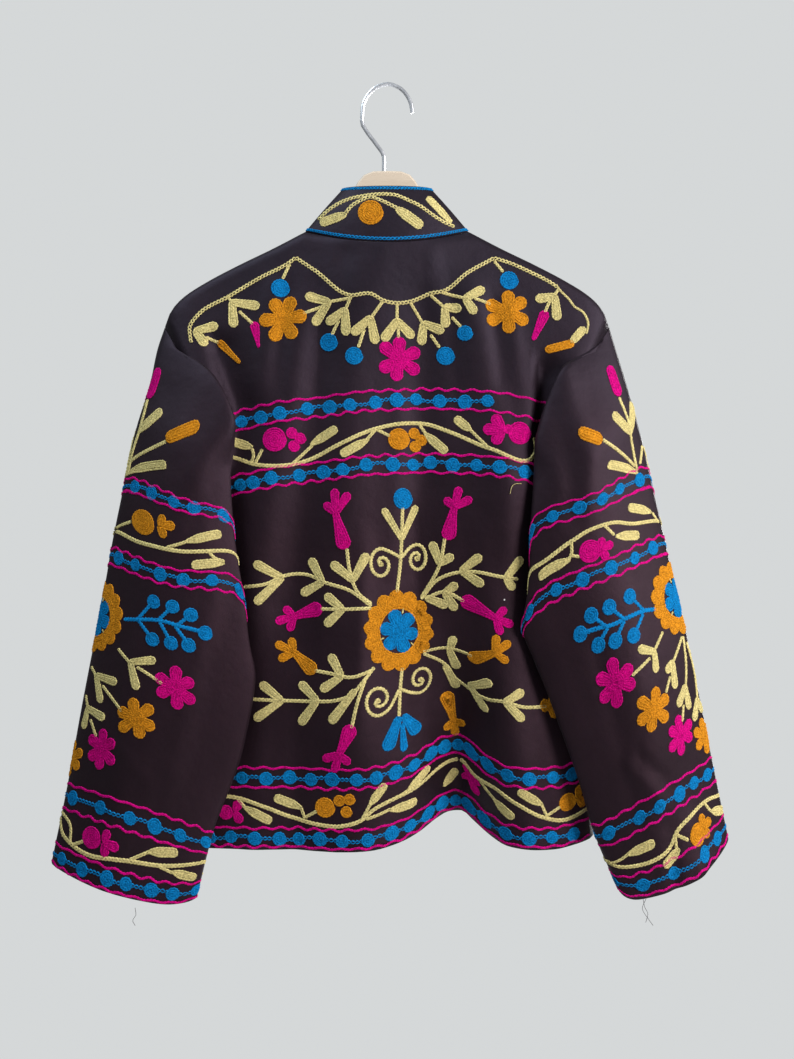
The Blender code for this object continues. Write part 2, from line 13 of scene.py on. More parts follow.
import bpy
import numpy as np
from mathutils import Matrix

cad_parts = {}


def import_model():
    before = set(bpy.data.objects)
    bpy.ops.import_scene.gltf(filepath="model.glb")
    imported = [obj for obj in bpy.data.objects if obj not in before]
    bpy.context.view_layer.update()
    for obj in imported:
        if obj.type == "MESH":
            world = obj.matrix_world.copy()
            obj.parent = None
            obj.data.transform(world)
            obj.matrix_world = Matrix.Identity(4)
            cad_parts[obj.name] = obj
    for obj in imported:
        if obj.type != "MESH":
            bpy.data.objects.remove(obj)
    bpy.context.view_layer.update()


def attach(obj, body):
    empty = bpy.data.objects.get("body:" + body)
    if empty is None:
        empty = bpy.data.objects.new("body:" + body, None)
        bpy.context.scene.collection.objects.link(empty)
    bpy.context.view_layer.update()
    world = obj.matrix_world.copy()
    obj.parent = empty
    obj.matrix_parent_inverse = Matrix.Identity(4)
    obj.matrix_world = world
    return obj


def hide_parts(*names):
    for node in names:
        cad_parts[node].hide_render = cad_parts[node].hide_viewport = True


MM = 0.001
TINY = 1e-9

# Body and collar, in the solids' sizes
SEAM_GAP = 0.3
NECK_HALF = 82
NECK_DEPTH = 147
TIP_DEPTH = 241
TIP_HALF = 222
UNDERARM_DEPTH = 460
UNDERARM_HALF = 199
HEM_DEPTH = 757
HEM_HALF = 206
FRONT_GAP = 3
BAR_COVER = 9.2
SHOULDER_ROLL = 7
NECK_BULGE = 15
NECK_BULGE_WIDTH = 72
NECK_BULGE_FADE = 150
NECK_ROUNDING = 4
SIDE_ROUNDING = 8
SHARPNESS = 2
COLLAR_TOP_HALF = 43.5
COLLAR_TOP_DEPTH = 102.5
COLLAR_TOP_BACK = 17
COLLAR_TOP_FRONT = 27
COLLAR_BACK_DROP = 2
COLLAR_FRONT_DROP = 70
COLLAR_SEAM_GAP = 0.5
COLLAR_BOW = 2.5

# Thickness of the cloth, a little less than the solids'
CLOTH = 1.2
COLLAR_CLOTH = 2.2

# How finely the cloth is made. A sleeve's first rows are closer than its step.
ARM_ROWS = 44
SIDE_ROWS = 62
NECK_COLUMNS = 20
SHOULDER_COLUMNS = 28
SLEEVE_HEAD = [0.8, 3, 7, 12, 17]
SLEEVE_EVEN_FROM = 22
SLEEVE_STEP = 6
SLEEVE_COLUMNS = 104
GIRTH_POINTS = 481
COLLAR_ROWS = 14
# Steps of the search for a flat place's row
SEARCH_STEPS = 8

# Top edge of the shoulder: distance from the middle, depth
SHOULDER = [(82, 147), (115, 164), (146, 179), (180, 197), (203, 212), (215, 225), (222, 241)]

# Side of the body under the arm: depth, distance from the middle
BODY_SIDE = [(UNDERARM_DEPTH, UNDERARM_HALF), (560, 197), (660, 200), (HEM_DEPTH, HEM_HALF)]

# How far each panel stands off the middle plane: depth, back, front
STAND_OFF = [(147, 0, 0), (200, 4, 4), (300, 10, 12), (450, 14, 18), (600, 14, 20), (757, 13, 18)]

# How far the hem valley pulls the hem up: place across, lift; and the depths between which it
# grows to that
LIFT_ACROSS = [
    (-50, 0), (-15, 2), (11, 7), (33, 15), (50, 23), (63, 26), (76, 26), (88, 18), (103, 8), (120, 2),
    (165, 0), (185, 3), (206, 8),
]
LIFT_FROM = 520
LIFT_FULL = 680

# A fold: place across and depth at its upper and at its lower end, half-width there, how far its
# line stands towards the camera (+) or away (-) at each end, and the length over which the ends
# fade. A sharp one has a narrow line, and left is the part of its half-width that a fold has on
# its left. The fronts' folds are the solids', and the back's are nearer to the photo's.
Fold = namedtuple("Fold", "top end wide out fade sharp left", defaults=(False, 1.0))

BACK_FOLDS = [
    Fold((62, 560), (74, 790), (34, 46), (-10, -60), (90, 1), sharp=True),  # hem valley
    Fold((-10, 560), (-20, 790), (40, 46), (3, 13), (90, 1)),  # hem ridge left
    Fold((132, 580), (136, 790), (28, 34), (4, 14), (80, 1)),  # hem ridge right
    Fold((-38, 220), (-38, 640), (30, 34), (5, 9), (60, 80)),  # middle ridge
    Fold((36, 240), (34, 610), (23, 25), (-5, -8), (60, 90)),  # middle trough
    Fold((-86, 240), (-134, 520), (18, 22), (3, 4), (50, 60)),  # left ridge
    Fold((-60, 270), (-92, 520), (18, 24), (-4, -5), (50, 70)),  # left trough
    Fold((-46, 560), (-40, 790), (62, 70), (3, 7), (90, 1)),  # left slope
    Fold((84, 215), (124, 400), (18, 24), (3, 6), (40, 120)),  # right ridge
    Fold((112, 400), (120, 660), (28, 30), (7, 8), (90, 90)),  # right rise
    Fold((-171, 264), (-150, 322), (22, 24), (-11, -12), (20, 80), left=0.22),  # armhole left
    Fold((-164, 430), (-164, 600), (20, 24), (-9, -10), (60, 110)),  # armhole left low
    Fold((153, 290), (151, 350), (24, 24), (-13, -13), (26, 70), left=0.2),  # armhole right
    Fold((186, 290), (184, 350), (20, 22), (8, 14), (40, 50)),  # armhole right swell
    Fold((168, 430), (164, 560), (20, 22), (-9, -8), (60, 90)),  # armhole right low
]
FRONT_FOLDS = [
    Fold((62, 540), (74, 790), (50, 62), (-6, -34), (90, 1), sharp=True),  # hem valley
    Fold((-84, 330), (-96, 790), (22, 34), (-3, -10), (90, 1)),  # left fold
    Fold((120, 300), (140, 600), (20, 26), (-4, -5), (70, 90)),  # right fold
    Fold((-130, 420), (-150, 790), (20, 22), (3, 6), (90, 1)),  # left dip
]

# Finer creases of the panels
BACK_CREASES = [
    Fold((-112, 205), (-124, 300), (8, 12), (2.4, 2.4), (20, 50)),
    Fold((-98, 210), (-106, 290), (8, 10), (-2.4, -2.0), (20, 50)),
    Fold((-66, 205), (-70, 300), (8, 11), (-1.6, -2.0), (20, 40)),
    Fold((-58, 500), (-70, 600), (8, 10), (1.0, 1.2), (40, 50)),
    Fold((-22, 470), (-24, 600), (8, 9), (2.0, 2.4), (40, 60)),
    Fold((14, 330), (10, 460), (9, 12), (1.6, 2.0), (50, 60)),
    Fold((26, 440), (30, 560), (7, 9), (-1.8, -2.0), (40, 60)),
    Fold((64, 220), (70, 330), (9, 12), (-2.0, -1.6), (30, 50)),
    Fold((104, 225), (112, 290), (6, 8), (-2.2, -2.0), (20, 30)),
    Fold((124, 235), (136, 330), (8, 10), (2.6, 2.4), (30, 50)),
    Fold((92, 470), (112, 620), (10, 12), (2.0, 2.4), (50, 60)),
    Fold((-122, 640), (-130, 757), (12, 15), (0.8, 3.0), (60, 10)),
    Fold((-88, 640), (-90, 757), (10, 12), (-1.4, -3.0), (50, 10)),
    Fold((18, 640), (26, 740), (9, 12), (1.4, 3.0), (50, 30)),
    Fold((100, 690), (100, 757), (7, 9), (-1.4, -3.0), (30, 10)),
    Fold((-5, 168), (-9, 215), (12, 16), (1.4, 1.2), (12, 40)),
    Fold((-40, 172), (-46, 225), (9, 11), (-1.4, -1.2), (12, 40)),
    Fold((44, 172), (52, 225), (9, 11), (1.4, 1.2), (12, 40)),
]
FRONT_CREASES = [
    Fold((-60, 260), (-48, 440), (9, 12), (1.6, 2.0), (60, 60)),
    Fold((-30, 420), (-26, 640), (8, 11), (-1.8, -2.2), (60, 60)),
    Fold((-150, 300), (-138, 420), (9, 11), (-2.0, -1.6), (40, 60)),
    Fold((48, 270), (40, 480), (10, 12), (-1.8, -2.2), (60, 60)),
    Fold((88, 360), (100, 600), (9, 11), (2.0, 2.4), (60, 60)),
    Fold((152, 320), (146, 480), (9, 12), (2.2, 1.8), (50, 60)),
    Fold((-112, 560), (-118, 757), (10, 13), (1.4, 3.2), (60, 10)),
]

# Sleeve sections. A row is the length along, then a point at each of the places round the sleeve:
# its outer line, back, back roll, underarm, front roll and front. The rows are the solids' but for
# the first few, whose upper edges lap over the back.
SECTION_PLACES = (0, 0.16, 0.31, 0.5, 0.69, 0.84)
LEFT_SLEEVE = [
    (0, (222, 0, 241), (189, -27, 307), (188, -20, 380), (199, 0, 460), (188, 20, 380), (189, 25, 307)),
    (22, (229, -4, 265), (175, -30, 288), (170, -23, 352), (206, -4, 480),
     (184, 24, 388), (188, 25, 318)),
    (57, (235, -8, 298), (157, -43, 320), (150, -34, 376), (207, -15, 512),
     (192, 26, 415), (196, 30, 345)),
    (106, (249, -10, 345), (187, -48, 372), (151, -37, 394), (198, -25, 535),
     (213, 12, 475), (232, 24, 390)),
    (155, (258, -12, 393), (194, -50, 415), (149, -38, 435), (180, -29, 553),
     (214, -4, 520), (250, 16, 435)),
    (223, (271, -12, 455), (205, -52, 480), (145, -42, 495), (146, -34, 551),
     (198, -20, 530), (250, 6, 490)),
    (307, (287, -12, 540), (224, -54, 554), (165, -48, 573), (127, -34, 588),
     (172, -21, 574), (236, -2, 558)),
    (387, (302, -12, 618), (239, -52, 628), (179, -46, 646), (140, -34, 660),
     (183, -21, 648), (250, -4, 630)),
    (466, (316, -12, 695), (258, -48, 703), (203, -44, 723), (169, -32, 739),
     (206, -18, 727), (267, -2, 707)),
    (547, (332, -12, 773), (276, -46, 790), (219, -42, 805), (185, -30, 801),
     (222, -14, 790), (280, -2, 780)),
]
RIGHT_SLEEVE = [
    (0, (222, 0, 241), (189, -27, 307), (188, -20, 380), (199, 0, 460), (188, 20, 380), (189, 25, 307)),
    (22, (227, -4, 261), (170, -29, 288), (160, -22, 345), (206, -4, 480),
     (184, 24, 388), (188, 25, 318)),
    (57, (236, -8, 293), (173, -38, 322), (144, -30, 370), (207, -15, 512),
     (192, 26, 415), (196, 30, 345)),
    (106, (249, -10, 340), (198, -48, 373), (142, -36, 402), (196, -25, 535),
     (213, 12, 475), (232, 24, 388)),
    (155, (259, -12, 388), (198, -50, 414), (140, -42, 440), (172, -31, 550),
     (214, -4, 520), (252, 16, 435)),
    (223, (274, -12, 452), (211, -52, 475), (151, -48, 503), (133, -35, 546),
     (194, -21, 534), (254, 6, 488)),
    (307, (294, -12, 535), (234, -54, 559), (178, -48, 588), (155, -34, 601),
     (184, -21, 586), (242, -2, 558)),
    (387, (311, -12, 616), (257, -52, 638), (205, -46, 667), (184, -34, 681),
     (210, -20, 666), (262, -4, 640)),
    (454, (324, -12, 682), (266, -48, 708), (221, -44, 735), (203, -32, 742),
     (228, -16, 730), (275, -2, 704)),
    (530, (338, -12, 749), (298, -46, 781), (244, -44, 800), (224, -32, 789),
     (250, -14, 783), (300, -2, 770)),
]

# Creases of the sleeves: places are (round, along), and + is outwards
LEFT_CREASES = [
    Fold((112, 62), (88, 118), (7, 9), (1.8, 1.2), (30, 30)),
    Fold((124, 84), (104, 132), (5, 7), (-1.6, -1.2), (26, 30)),
    Fold((60, 70), (54, 210), (13, 16), (1.6, 1.4), (50, 60)),
    Fold((92, 180), (84, 320), (12, 15), (-1.6, -1.8), (60, 60)),
    Fold((128, 250), (120, 430), (12, 14), (2.0, 1.6), (60, 60)),
    Fold((60, 330), (66, 470), (13, 15), (1.4, 1.6), (60, 60)),
    Fold((36, 400), (98, 440), (8, 9), (1.2, 1.0), (20, 30)),
    Fold((-70, 120), (-62, 300), (12, 15), (-2.0, -1.8), (60, 60)),
    Fold((-110, 260), (-98, 470), (12, 14), (1.8, 1.8), (60, 60)),
]
RIGHT_CREASES = [
    Fold((66, 30), (78, 150), (10, 12), (2.2, 1.8), (30, 60)),
    Fold((92, 60), (100, 150), (9, 10), (-1.8, -1.6), (40, 50)),
    Fold((120, 70), (108, 130), (7, 8), (1.6, 1.2), (30, 30)),
    Fold((60, 180), (70, 330), (13, 16), (1.6, 1.6), (60, 60)),
    Fold((112, 300), (104, 440), (10, 12), (-1.6, -1.8), (50, 60)),
    Fold((104, 408), (76, 446), (6, 7), (2.2, 1.8), (18, 18)),
    Fold((92, 400), (64, 436), (5, 6), (-1.6, -1.2), (18, 18)),
    Fold((72, 482), (84, 530), (9, 7), (-2.2, -3.4), (20, 1)),
    Fold((50, 486), (56, 530), (9, 9), (1.8, 2.6), (20, 1)),
    Fold((-66, 130), (-72, 300), (12, 15), (1.8, 2.0), (60, 60)),
    Fold((-104, 250), (-96, 450), (11, 14), (-2.0, -1.8), (60, 60)),
]

# A panel: how far the neck's edge sinks and how sharply, its column in STAND_OFF, its folds, and
# the way it faces
Panel = namedtuple("Panel", "neck_drop neck_shape stand_off folds facing")
BACK = Panel(neck_drop=15, neck_shape=1, stand_off=1, folds=BACK_FOLDS, facing=-1)
FRONT = Panel(neck_drop=76, neck_shape=1.5, stand_off=2, folds=FRONT_FOLDS, facing=1)


def unit(vectors):
    return vectors / np.maximum(np.linalg.norm(vectors, axis=-1, keepdims=True), TINY)


def eased(step):
    step = np.clip(step, 0, 1)
    return step * step * (3 - 2 * step)


def bell(distance):
    return np.exp(-distance * distance)


def between(pair, share):
    return pair[0] + (pair[1] - pair[0]) * share


def hermite(start, end, leaving, coming, t):
    """Points on smooth curves between start and end, t of the way along."""
    return (
        start * (1 + 2 * t) * (1 - t) ** 2
        + leaving * t * (1 - t) ** 2
        + end * t * t * (3 - 2 * t)
        + coming * t * t * (t - 1)
    )


def through(stations, values, at):
    """Smooth curve through the values at the stations, with no overshoot."""
    stations, at = np.asarray(stations, float), np.asarray(at, float)
    values = np.asarray(values, float).reshape(len(stations), -1)
    step = np.diff(stations)[:, None]
    rise = np.diff(values, axis=0) / step
    same_way = rise[1:] * rise[:-1] > 0
    total = np.where(same_way, rise[1:] + rise[:-1], 1)
    middle = np.where(same_way, 2 * rise[1:] * rise[:-1] / total, 0)
    slope = np.concatenate([rise[:1], middle, rise[-1:]])
    flat = np.clip(at.ravel(), stations[0], stations[-1])
    k = np.clip(np.searchsorted(stations, flat, side="right") - 1, 0, len(step) - 1)
    t = (flat - stations[k])[:, None] / step[k]
    found = hermite(values[k], values[k + 1], slope[k] * step[k], slope[k + 1] * step[k], t)
    return found.reshape(at.shape + (-1,) if values.shape[1] > 1 else at.shape)


def through_table(table, at, column=1):
    """Smooth curve through one column of a table whose first column holds the stations."""
    return through([row[0] for row in table], [row[column] for row in table], at)


def round_curve(controls, places, at):
    """Points at these places on closed smooth curves, one curve for each place."""
    places = np.asarray(places, float)
    ahead = np.append(places[1:], 1.0) - places
    behind = np.roll(ahead, 1)
    leaving = (np.roll(controls, -1, axis=-2) - controls) / ahead[:, None]
    coming = np.roll(leaving, 1, axis=-2)
    slope = (leaving * behind[:, None] + coming * ahead[:, None]) / (ahead + behind)[:, None]
    at = at % 1.0
    k = np.clip(np.searchsorted(places, at, side="right") - 1, 0, len(places) - 1)
    after = (k + 1) % len(places)
    h = ahead[k][:, None]
    t = (at - places[k])[:, None] / h
    row = np.arange(len(at))
    return hermite(controls[row, k], controls[row, after], slope[row, k] * h, slope[row, after] * h, t)


def sleeve_points(rows, side, along, around):
    """Points of a sleeve at these lengths along it and places round it."""
    flat = [[c for place in row[1:] for c in place] for row in rows]
    controls = through([row[0] for row in rows], flat, along.ravel())
    points = round_curve(controls.reshape(-1, len(SECTION_PLACES), 3), SECTION_PLACES, around.ravel())
    return (points * np.array([side, 1, -1])).reshape(along.shape + (3,))


def armhole():
    around = np.linspace(0, 0.5, ARM_ROWS + 1)
    return sleeve_points(LEFT_SLEEVE, 1, np.zeros_like(around), around) * np.array([1, 1, -1])


ARMHOLE = armhole()


def half_width(depth):
    """Half the body's width at a depth on its side."""
    above = np.interp(depth, ARMHOLE[:, 2], ARMHOLE[:, 0])
    return np.where(depth < UNDERARM_DEPTH, above, through_table(BODY_SIDE, depth))


def side_hold(depth):
    """How far the side seam stands off the middle plane."""
    return np.interp(depth, np.append(ARMHOLE[:, 2], HEM_DEPTH), np.append(-ARMHOLE[:, 1], 0))


def top_edge(panel, across):
    """Depth of the panel's top edge: the neck, then the shoulder."""
    across = np.abs(across)
    inside = np.clip(1 - (across / NECK_HALF) ** 2, 0, 1) ** panel.neck_shape
    neck = NECK_DEPTH + panel.neck_drop * inside
    return np.where(across < NECK_HALF, neck, through_table(SHOULDER, across))


def fold_depth(folds, across, depth):
    """Sum of the folds at a place, + towards the camera."""
    total = np.zeros_like(across)
    for fold in folds:
        high, low = fold.top[1], fold.end[1]
        share = np.clip((depth - high) / (low - high), 0, 1)
        middle = between((fold.top[0], fold.end[0]), share)
        starts = eased((depth - high + fold.fade[0]) / fold.fade[0])
        ends = eased((low + fold.fade[1] - depth) / fold.fade[1])
        wide = np.where(across < middle, fold.left, 1.0) * between(fold.wide, share)
        away = np.abs(across - middle) / wide
        crease = (1 + away**2) ** -SHARPNESS if fold.sharp else bell(away)
        total += between(fold.out, share) * crease * starts * ends
    return total


def lift(across, depth):
    """How far the hem valley pulls the cloth up at a place."""
    return through_table(LIFT_ACROSS, across) * eased((depth - LIFT_FROM) / (LIFT_FULL - LIFT_FROM))


def panel_points(panel, across, depth, side_depth):
    """Points of a panel at these places on the flat cloth, whose rows meet the side at
    side_depth."""
    below = np.maximum(depth - top_edge(panel, across), 0)
    roll = np.sqrt(np.clip(1 - (1 - np.clip(below / SHOULDER_ROLL, 0, 1)) ** 2, 0, 1))
    inside = np.clip(np.abs(across) / NECK_HALF, 0, 1)
    edge = np.sqrt(np.clip(1 - (1 - roll**2) * inside**NECK_ROUNDING, 0, 1))
    stand = BAR_COVER + through_table(STAND_OFF, depth, panel.stand_off)
    bulge_left = 1 - eased((depth - NECK_DEPTH) / NECK_BULGE_FADE)
    stand += NECK_BULGE * bell(across / NECK_BULGE_WIDTH) * bulge_left
    share = np.clip(np.abs(across) / half_width(side_depth), 0, 1)
    fullness = stand * edge - panel.facing * fold_depth(panel.folds, across, depth) * edge
    sideways = np.sqrt(np.clip(1 - share**SIDE_ROUNDING, 0, 1))
    y = panel.facing * (fullness * sideways + side_hold(side_depth) * (1 - sideways))
    y = np.where(below <= 0, np.where(np.abs(across) >= NECK_HALF, 0, y), y)
    z = -(depth - lift(across, depth))
    return np.stack([across, y + panel.facing * SEAM_GAP / 2, z], axis=-1)


def side_depths():
    """Depths at which a panel's rows meet its side: along the armhole, then below it."""
    below = UNDERARM_DEPTH + (HEM_DEPTH - UNDERARM_DEPTH) * np.arange(1, SIDE_ROWS + 1) / SIDE_ROWS
    return np.concatenate([ARMHOLE[:, 2], below])


def half_shares():
    """Places of the columns from the middle to the side, as parts of the half-width."""
    neck = np.sin(np.linspace(0, math.pi / 2, NECK_COLUMNS + 1)) * NECK_HALF / TIP_HALF
    shoulder = np.linspace(NECK_HALF, TIP_HALF, SHOULDER_COLUMNS + 1)[1:] / TIP_HALF
    return np.concatenate([neck, shoulder])


def grid_normals(points, closed):
    if closed:
        sideways = np.roll(points, -1, axis=1) - np.roll(points, 1, axis=1)
    else:
        sideways = np.gradient(points, axis=1)
    return unit(np.cross(np.gradient(points, axis=0), sideways))


def make_panel(panel, shares):
    """A panel as a grid of points, with the way from a flat place to the grid."""
    rows = side_depths()
    down = (rows - TIP_DEPTH) / (HEM_DEPTH - TIP_DEPTH)
    side = np.repeat(rows[:, None], len(shares), axis=1)
    across = shares[None, :] * half_width(rows)[:, None]
    start = top_edge(panel, shares * TIP_HALF)[None, :]
    depth = start + (HEM_DEPTH - start) * down[:, None]
    points = panel_points(panel, across, depth, side)
    normals = grid_normals(points, False)
    if np.mean(normals[..., 1]) * panel.facing < 0:
        normals = -normals
    order = np.argsort(shares)

    def locate(across, depth):
        row = np.clip(depth, TIP_DEPTH, HEM_DEPTH)
        for _ in range(SEARCH_STEPS):
            share = np.clip(across / half_width(row), -1, 1)
            start = top_edge(panel, share * TIP_HALF)
            gone = (depth - start) / (HEM_DEPTH - start)
            row = TIP_DEPTH + np.clip(gone, 0, 1) * (HEM_DEPTH - TIP_DEPTH)
        share = np.clip(across / half_width(row), -1, 1)
        column = np.interp(share, shares[order], np.arange(len(shares))[order].astype(float))
        return np.interp(row, rows, np.arange(len(rows), dtype=float)), column

    return {"points": points, "normals": normals, "locate": locate, "closed": False}


def make_sleeve(rows, side, creases):
    """A sleeve as a grid of points, its columns evenly spaced round it."""
    length = rows[-1][0]
    even = np.linspace(SLEEVE_EVEN_FROM, length, round((length - SLEEVE_EVEN_FROM) / SLEEVE_STEP) + 1)
    stations = np.concatenate([SLEEVE_HEAD, even])
    fine = np.linspace(0, 1, GIRTH_POINTS)
    along = np.repeat(stations[:, None], len(fine), axis=1)
    path = sleeve_points(rows, side, along, np.repeat(fine[None, :], len(stations), axis=0))
    arc = np.cumsum(np.linalg.norm(np.diff(path, axis=1), axis=-1), axis=1)
    arc = np.concatenate([np.zeros((len(stations), 1)), arc], axis=1)
    girth = arc[:, -1]
    wanted = np.linspace(0, 1, SLEEVE_COLUMNS + 1)[:-1]
    around = np.stack([np.interp(wanted * g, a, fine) for g, a in zip(girth, arc)])
    along = np.repeat(stations[:, None], SLEEVE_COLUMNS, axis=1)
    points = sleeve_points(rows, side, along, around)
    normals = grid_normals(points, True)
    outwards = np.sum((points - points.mean(axis=1, keepdims=True)) * normals, axis=-1)
    if np.mean(outwards[len(SLEEVE_HEAD) + 1:]) < 0:
        normals = -normals
    place = wanted[None, :] * girth[:, None]
    raised = fold_depth(creases, place, along) + fold_depth(creases, place - girth[:, None], along)
    points = points + normals * raised[..., None]
    creased = grid_normals(points, True)

    def girth_at(along):
        return np.interp(along, stations, girth)

    def locate(place, along):
        share = (place / girth_at(along)) % 1.0
        row = np.interp(along, stations, np.arange(len(stations), dtype=float))
        return row, share * SLEEVE_COLUMNS

    return {"points": points, "normals": creased * np.sign(np.sum(creased * normals)),
            "locate": locate, "closed": True, "girth": girth_at}


def collar_curve():
    """Angles round the collar from the middle of the back, and its seam and top edge."""
    quarter = np.linspace(0, math.pi / 2, NECK_COLUMNS + 1)
    last = math.pi - math.asin(FRONT_GAP / 2 / NECK_HALF)
    half = np.concatenate([quarter, math.pi - quarter[-2:0:-1], [last]])
    angles = np.concatenate([-half[:0:-1], half])
    across = NECK_HALF * np.sin(angles)
    turned = np.cos(angles)
    is_back = turned >= -1e-6
    lower_depth = np.where(is_back, top_edge(BACK, across), top_edge(FRONT, across))
    sides = np.full_like(across, TIP_DEPTH)
    on_back, on_front = (panel_points(panel, across, lower_depth, sides) for panel in (BACK, FRONT))
    lower = np.where(is_back[:, None], on_back, on_front)
    lower[:, 2] += COLLAR_SEAM_GAP
    drop = np.where(is_back, COLLAR_BACK_DROP * turned, COLLAR_FRONT_DROP * turned**2)
    y = np.where(is_back, -COLLAR_TOP_BACK, -COLLAR_TOP_FRONT) * turned
    upper = np.stack([COLLAR_TOP_HALF * np.sin(angles), y, -(COLLAR_TOP_DEPTH + drop)], axis=-1)
    return angles, lower, upper


def make_collar():
    """The collar as a grid. Its flat places are (across, depth) as seen from the back and, on its
    rim, (distance round the seam, distance down from the top edge)."""
    angles, lower, upper = collar_curve()
    steps = np.linspace(0, 1, COLLAR_ROWS)[:, None, None]
    points = lower[None] + (upper - lower)[None] * steps
    points[..., 1] += np.sign(points[..., 1]) * COLLAR_BOW * np.sin(math.pi * steps[..., 0])
    normals = grid_normals(points, False)
    if np.mean(np.sum(normals[:, :, :2] * points[:, :, :2], axis=-1)) < 0:
        normals = -normals
    heights = np.linalg.norm(upper - lower, axis=1)

    def place_at(step, angle):
        column = np.interp(angle, angles, np.arange(len(angles), dtype=float))
        return step * (COLLAR_ROWS - 1), column

    def locate(across, depth):
        step = np.full_like(across, 0.5)
        for _ in range(SEARCH_STEPS):
            width = NECK_HALF + (COLLAR_TOP_HALF - NECK_HALF) * step
            angle = np.arcsin(np.clip(across / width, -0.999, 0.999))
            low = -np.interp(angle, angles, lower[:, 2])
            high = -np.interp(angle, angles, upper[:, 2])
            step = np.clip((low - depth) / (low - high), 0, 1)
        return place_at(step, angle)

    def along_rim(place, down):
        angle = place / NECK_HALF
        return place_at(1 - np.clip(down / np.interp(angle, angles, heights), 0, 1), angle)

    grid = {"points": points, "normals": normals, "closed": False}
    return {
        "collar": {**grid, "locate": locate},
        "collar_rim": {**grid, "locate": along_rim, "angles": angles, "heights": heights},
    }


def make_surfaces():
    """The grid of each piece of cloth, by its name."""
    half = half_shares()
    back = BACK._replace(folds=BACK_FOLDS + BACK_CREASES)
    front = FRONT._replace(folds=FRONT_FOLDS + FRONT_CREASES)
    one_side = np.concatenate([[FRONT_GAP / 2 / TIP_HALF], half[1:]])
    return {
        "back": make_panel(back, np.concatenate([-half[:0:-1], half])),
        "front_left": make_panel(front, -one_side),
        "front_right": make_panel(front, one_side),
        "sleeve_left": make_sleeve(LEFT_SLEEVE, -1, LEFT_CREASES),
        "sleeve_right": make_sleeve(RIGHT_SLEEVE, 1, RIGHT_CREASES),
        **make_collar(),
    }


def read_grid(grid, row, column, closed):
    """Value of a grid at places between its points."""
    rows, columns = grid.shape[:2]
    r0 = np.clip(np.floor(row).astype(int), 0, rows - 2)
    fr = (row - r0)[..., None]
    c0 = np.floor(column).astype(int)
    if not closed:
        c0 = np.clip(c0, 0, columns - 2)
    fc = (column - c0)[..., None]
    c0, c1 = c0 % columns, (c0 + 1) % columns
    top = grid[r0, c0] * (1 - fc) + grid[r0, c1] * fc
    low = grid[r0 + 1, c0] * (1 - fc) + grid[r0 + 1, c1] * fc
    return top * (1 - fr) + low * fr


def on_cloth(surface, u, v, height):
    """Points over the cloth at these flat places and heights, and the cloth's direction there."""
    row, column = surface["locate"](u, v)
    points, normals = (
        read_grid(surface[part], row, column, surface["closed"]) for part in ("points", "normals")
    )
    normals = unit(normals)
    return points + normals * height[..., None], normals


def new_object(name, vertices, faces, uv=None):
    """Object from arrays in millimetres: faces is a list of arrays, each with its own side count."""
    mesh = bpy.data.meshes.new(name)
    corners = np.concatenate([f.ravel() for f in faces]).astype(np.int32)
    sizes = np.concatenate([np.full(len(f), f.shape[1]) for f in faces]).astype(np.int32)
    starts = np.concatenate([[0], np.cumsum(sizes)[:-1]]).astype(np.int32)
    mesh.vertices.add(len(vertices))
    mesh.vertices.foreach_set("co", (np.asarray(vertices) * MM).astype(np.float32).ravel())
    mesh.loops.add(len(corners))
    mesh.loops.foreach_set("vertex_index", corners)
    mesh.polygons.add(len(sizes))
    mesh.polygons.foreach_set("loop_start", starts)
    if uv is not None:
        layer = mesh.uv_layers.new(name="stitch")
        layer.data.foreach_set("uv", uv[corners].astype(np.float32).ravel())
    mesh.update(calc_edges=True)
    mesh.validate()
    mesh.shade_smooth()
    made = bpy.data.objects.new(name, mesh)
    bpy.context.scene.collection.objects.link(made)
    return made


def looks_in(vertices, quads, normals):
    """Whether the quads face against the cloth's direction at their first corners."""
    a, b, c = (vertices[quads[:, k]] for k in range(3))
    return np.sum(np.cross(b - a, c - b) * normals[quads[:, 0]]) < 0


def cloth_wall(surface, thickness, name):
    """Closed thin wall of cloth on a surface's grid."""
    outer, closed = surface["points"], surface["closed"]
    inner = outer - surface["normals"] * thickness
    size = outer.shape[0] * outer.shape[1]
    index = np.arange(size).reshape(outer.shape[:2])
    right = np.roll(index, -1, axis=1) if closed else index[:, 1:]
    left = index if closed else index[:, :-1]
    quads = np.stack([left[:-1], left[1:], right[1:], right[:-1]], axis=-1).reshape(-1, 4)
    edges = [(left[0], right[0]), (right[-1], left[-1])]
    if not closed:
        edges += [(index[1:, 0], index[:-1, 0]), (index[:-1, -1], index[1:, -1])]
    faces = [quads, quads[:, ::-1] + size]
    faces += [np.stack([one, other, other + size, one + size], axis=-1) for one, other in edges]
    vertices = np.concatenate([outer.reshape(-1, 3), inner.reshape(-1, 3)])
    if looks_in(vertices, quads, surface["normals"].reshape(-1, 3)):
        faces = [f[:, ::-1] for f in faces]
    return new_object(name, vertices, faces)


# Kinds of chain stitch, by steps along a link: how wide it is there, and how high its two threads
# and its middle stand, as parts of its width and height
DENSE = [(0.66, 0.68, 0.62), (1.0, 1.04, 0.24)]
HOLLOW = [(0.62, 0.80, 0.85), (0.98, 1.0, -1.0), (1.0, 1.05, -1.0), (0.86, 0.98, 0.2)]
TIGHT = [(0.76, 0.78, 0.78), (1.0, 1.05, -0.30), (0.92, 0.98, 0.05)]
OPEN = [(0.34, 0.9, 0.9), (0.9, 1.0, -1.05), (1.0, 1.0, -1.05), (0.86, 1.0, -0.9)]
PAD = [(1.0, 0.9, 1.0)]
# Places across a link of its edges, threads and middle, as parts of its half-width
ACROSS_LINK = np.array([-1, -0.56, 0, 0.56, 1])
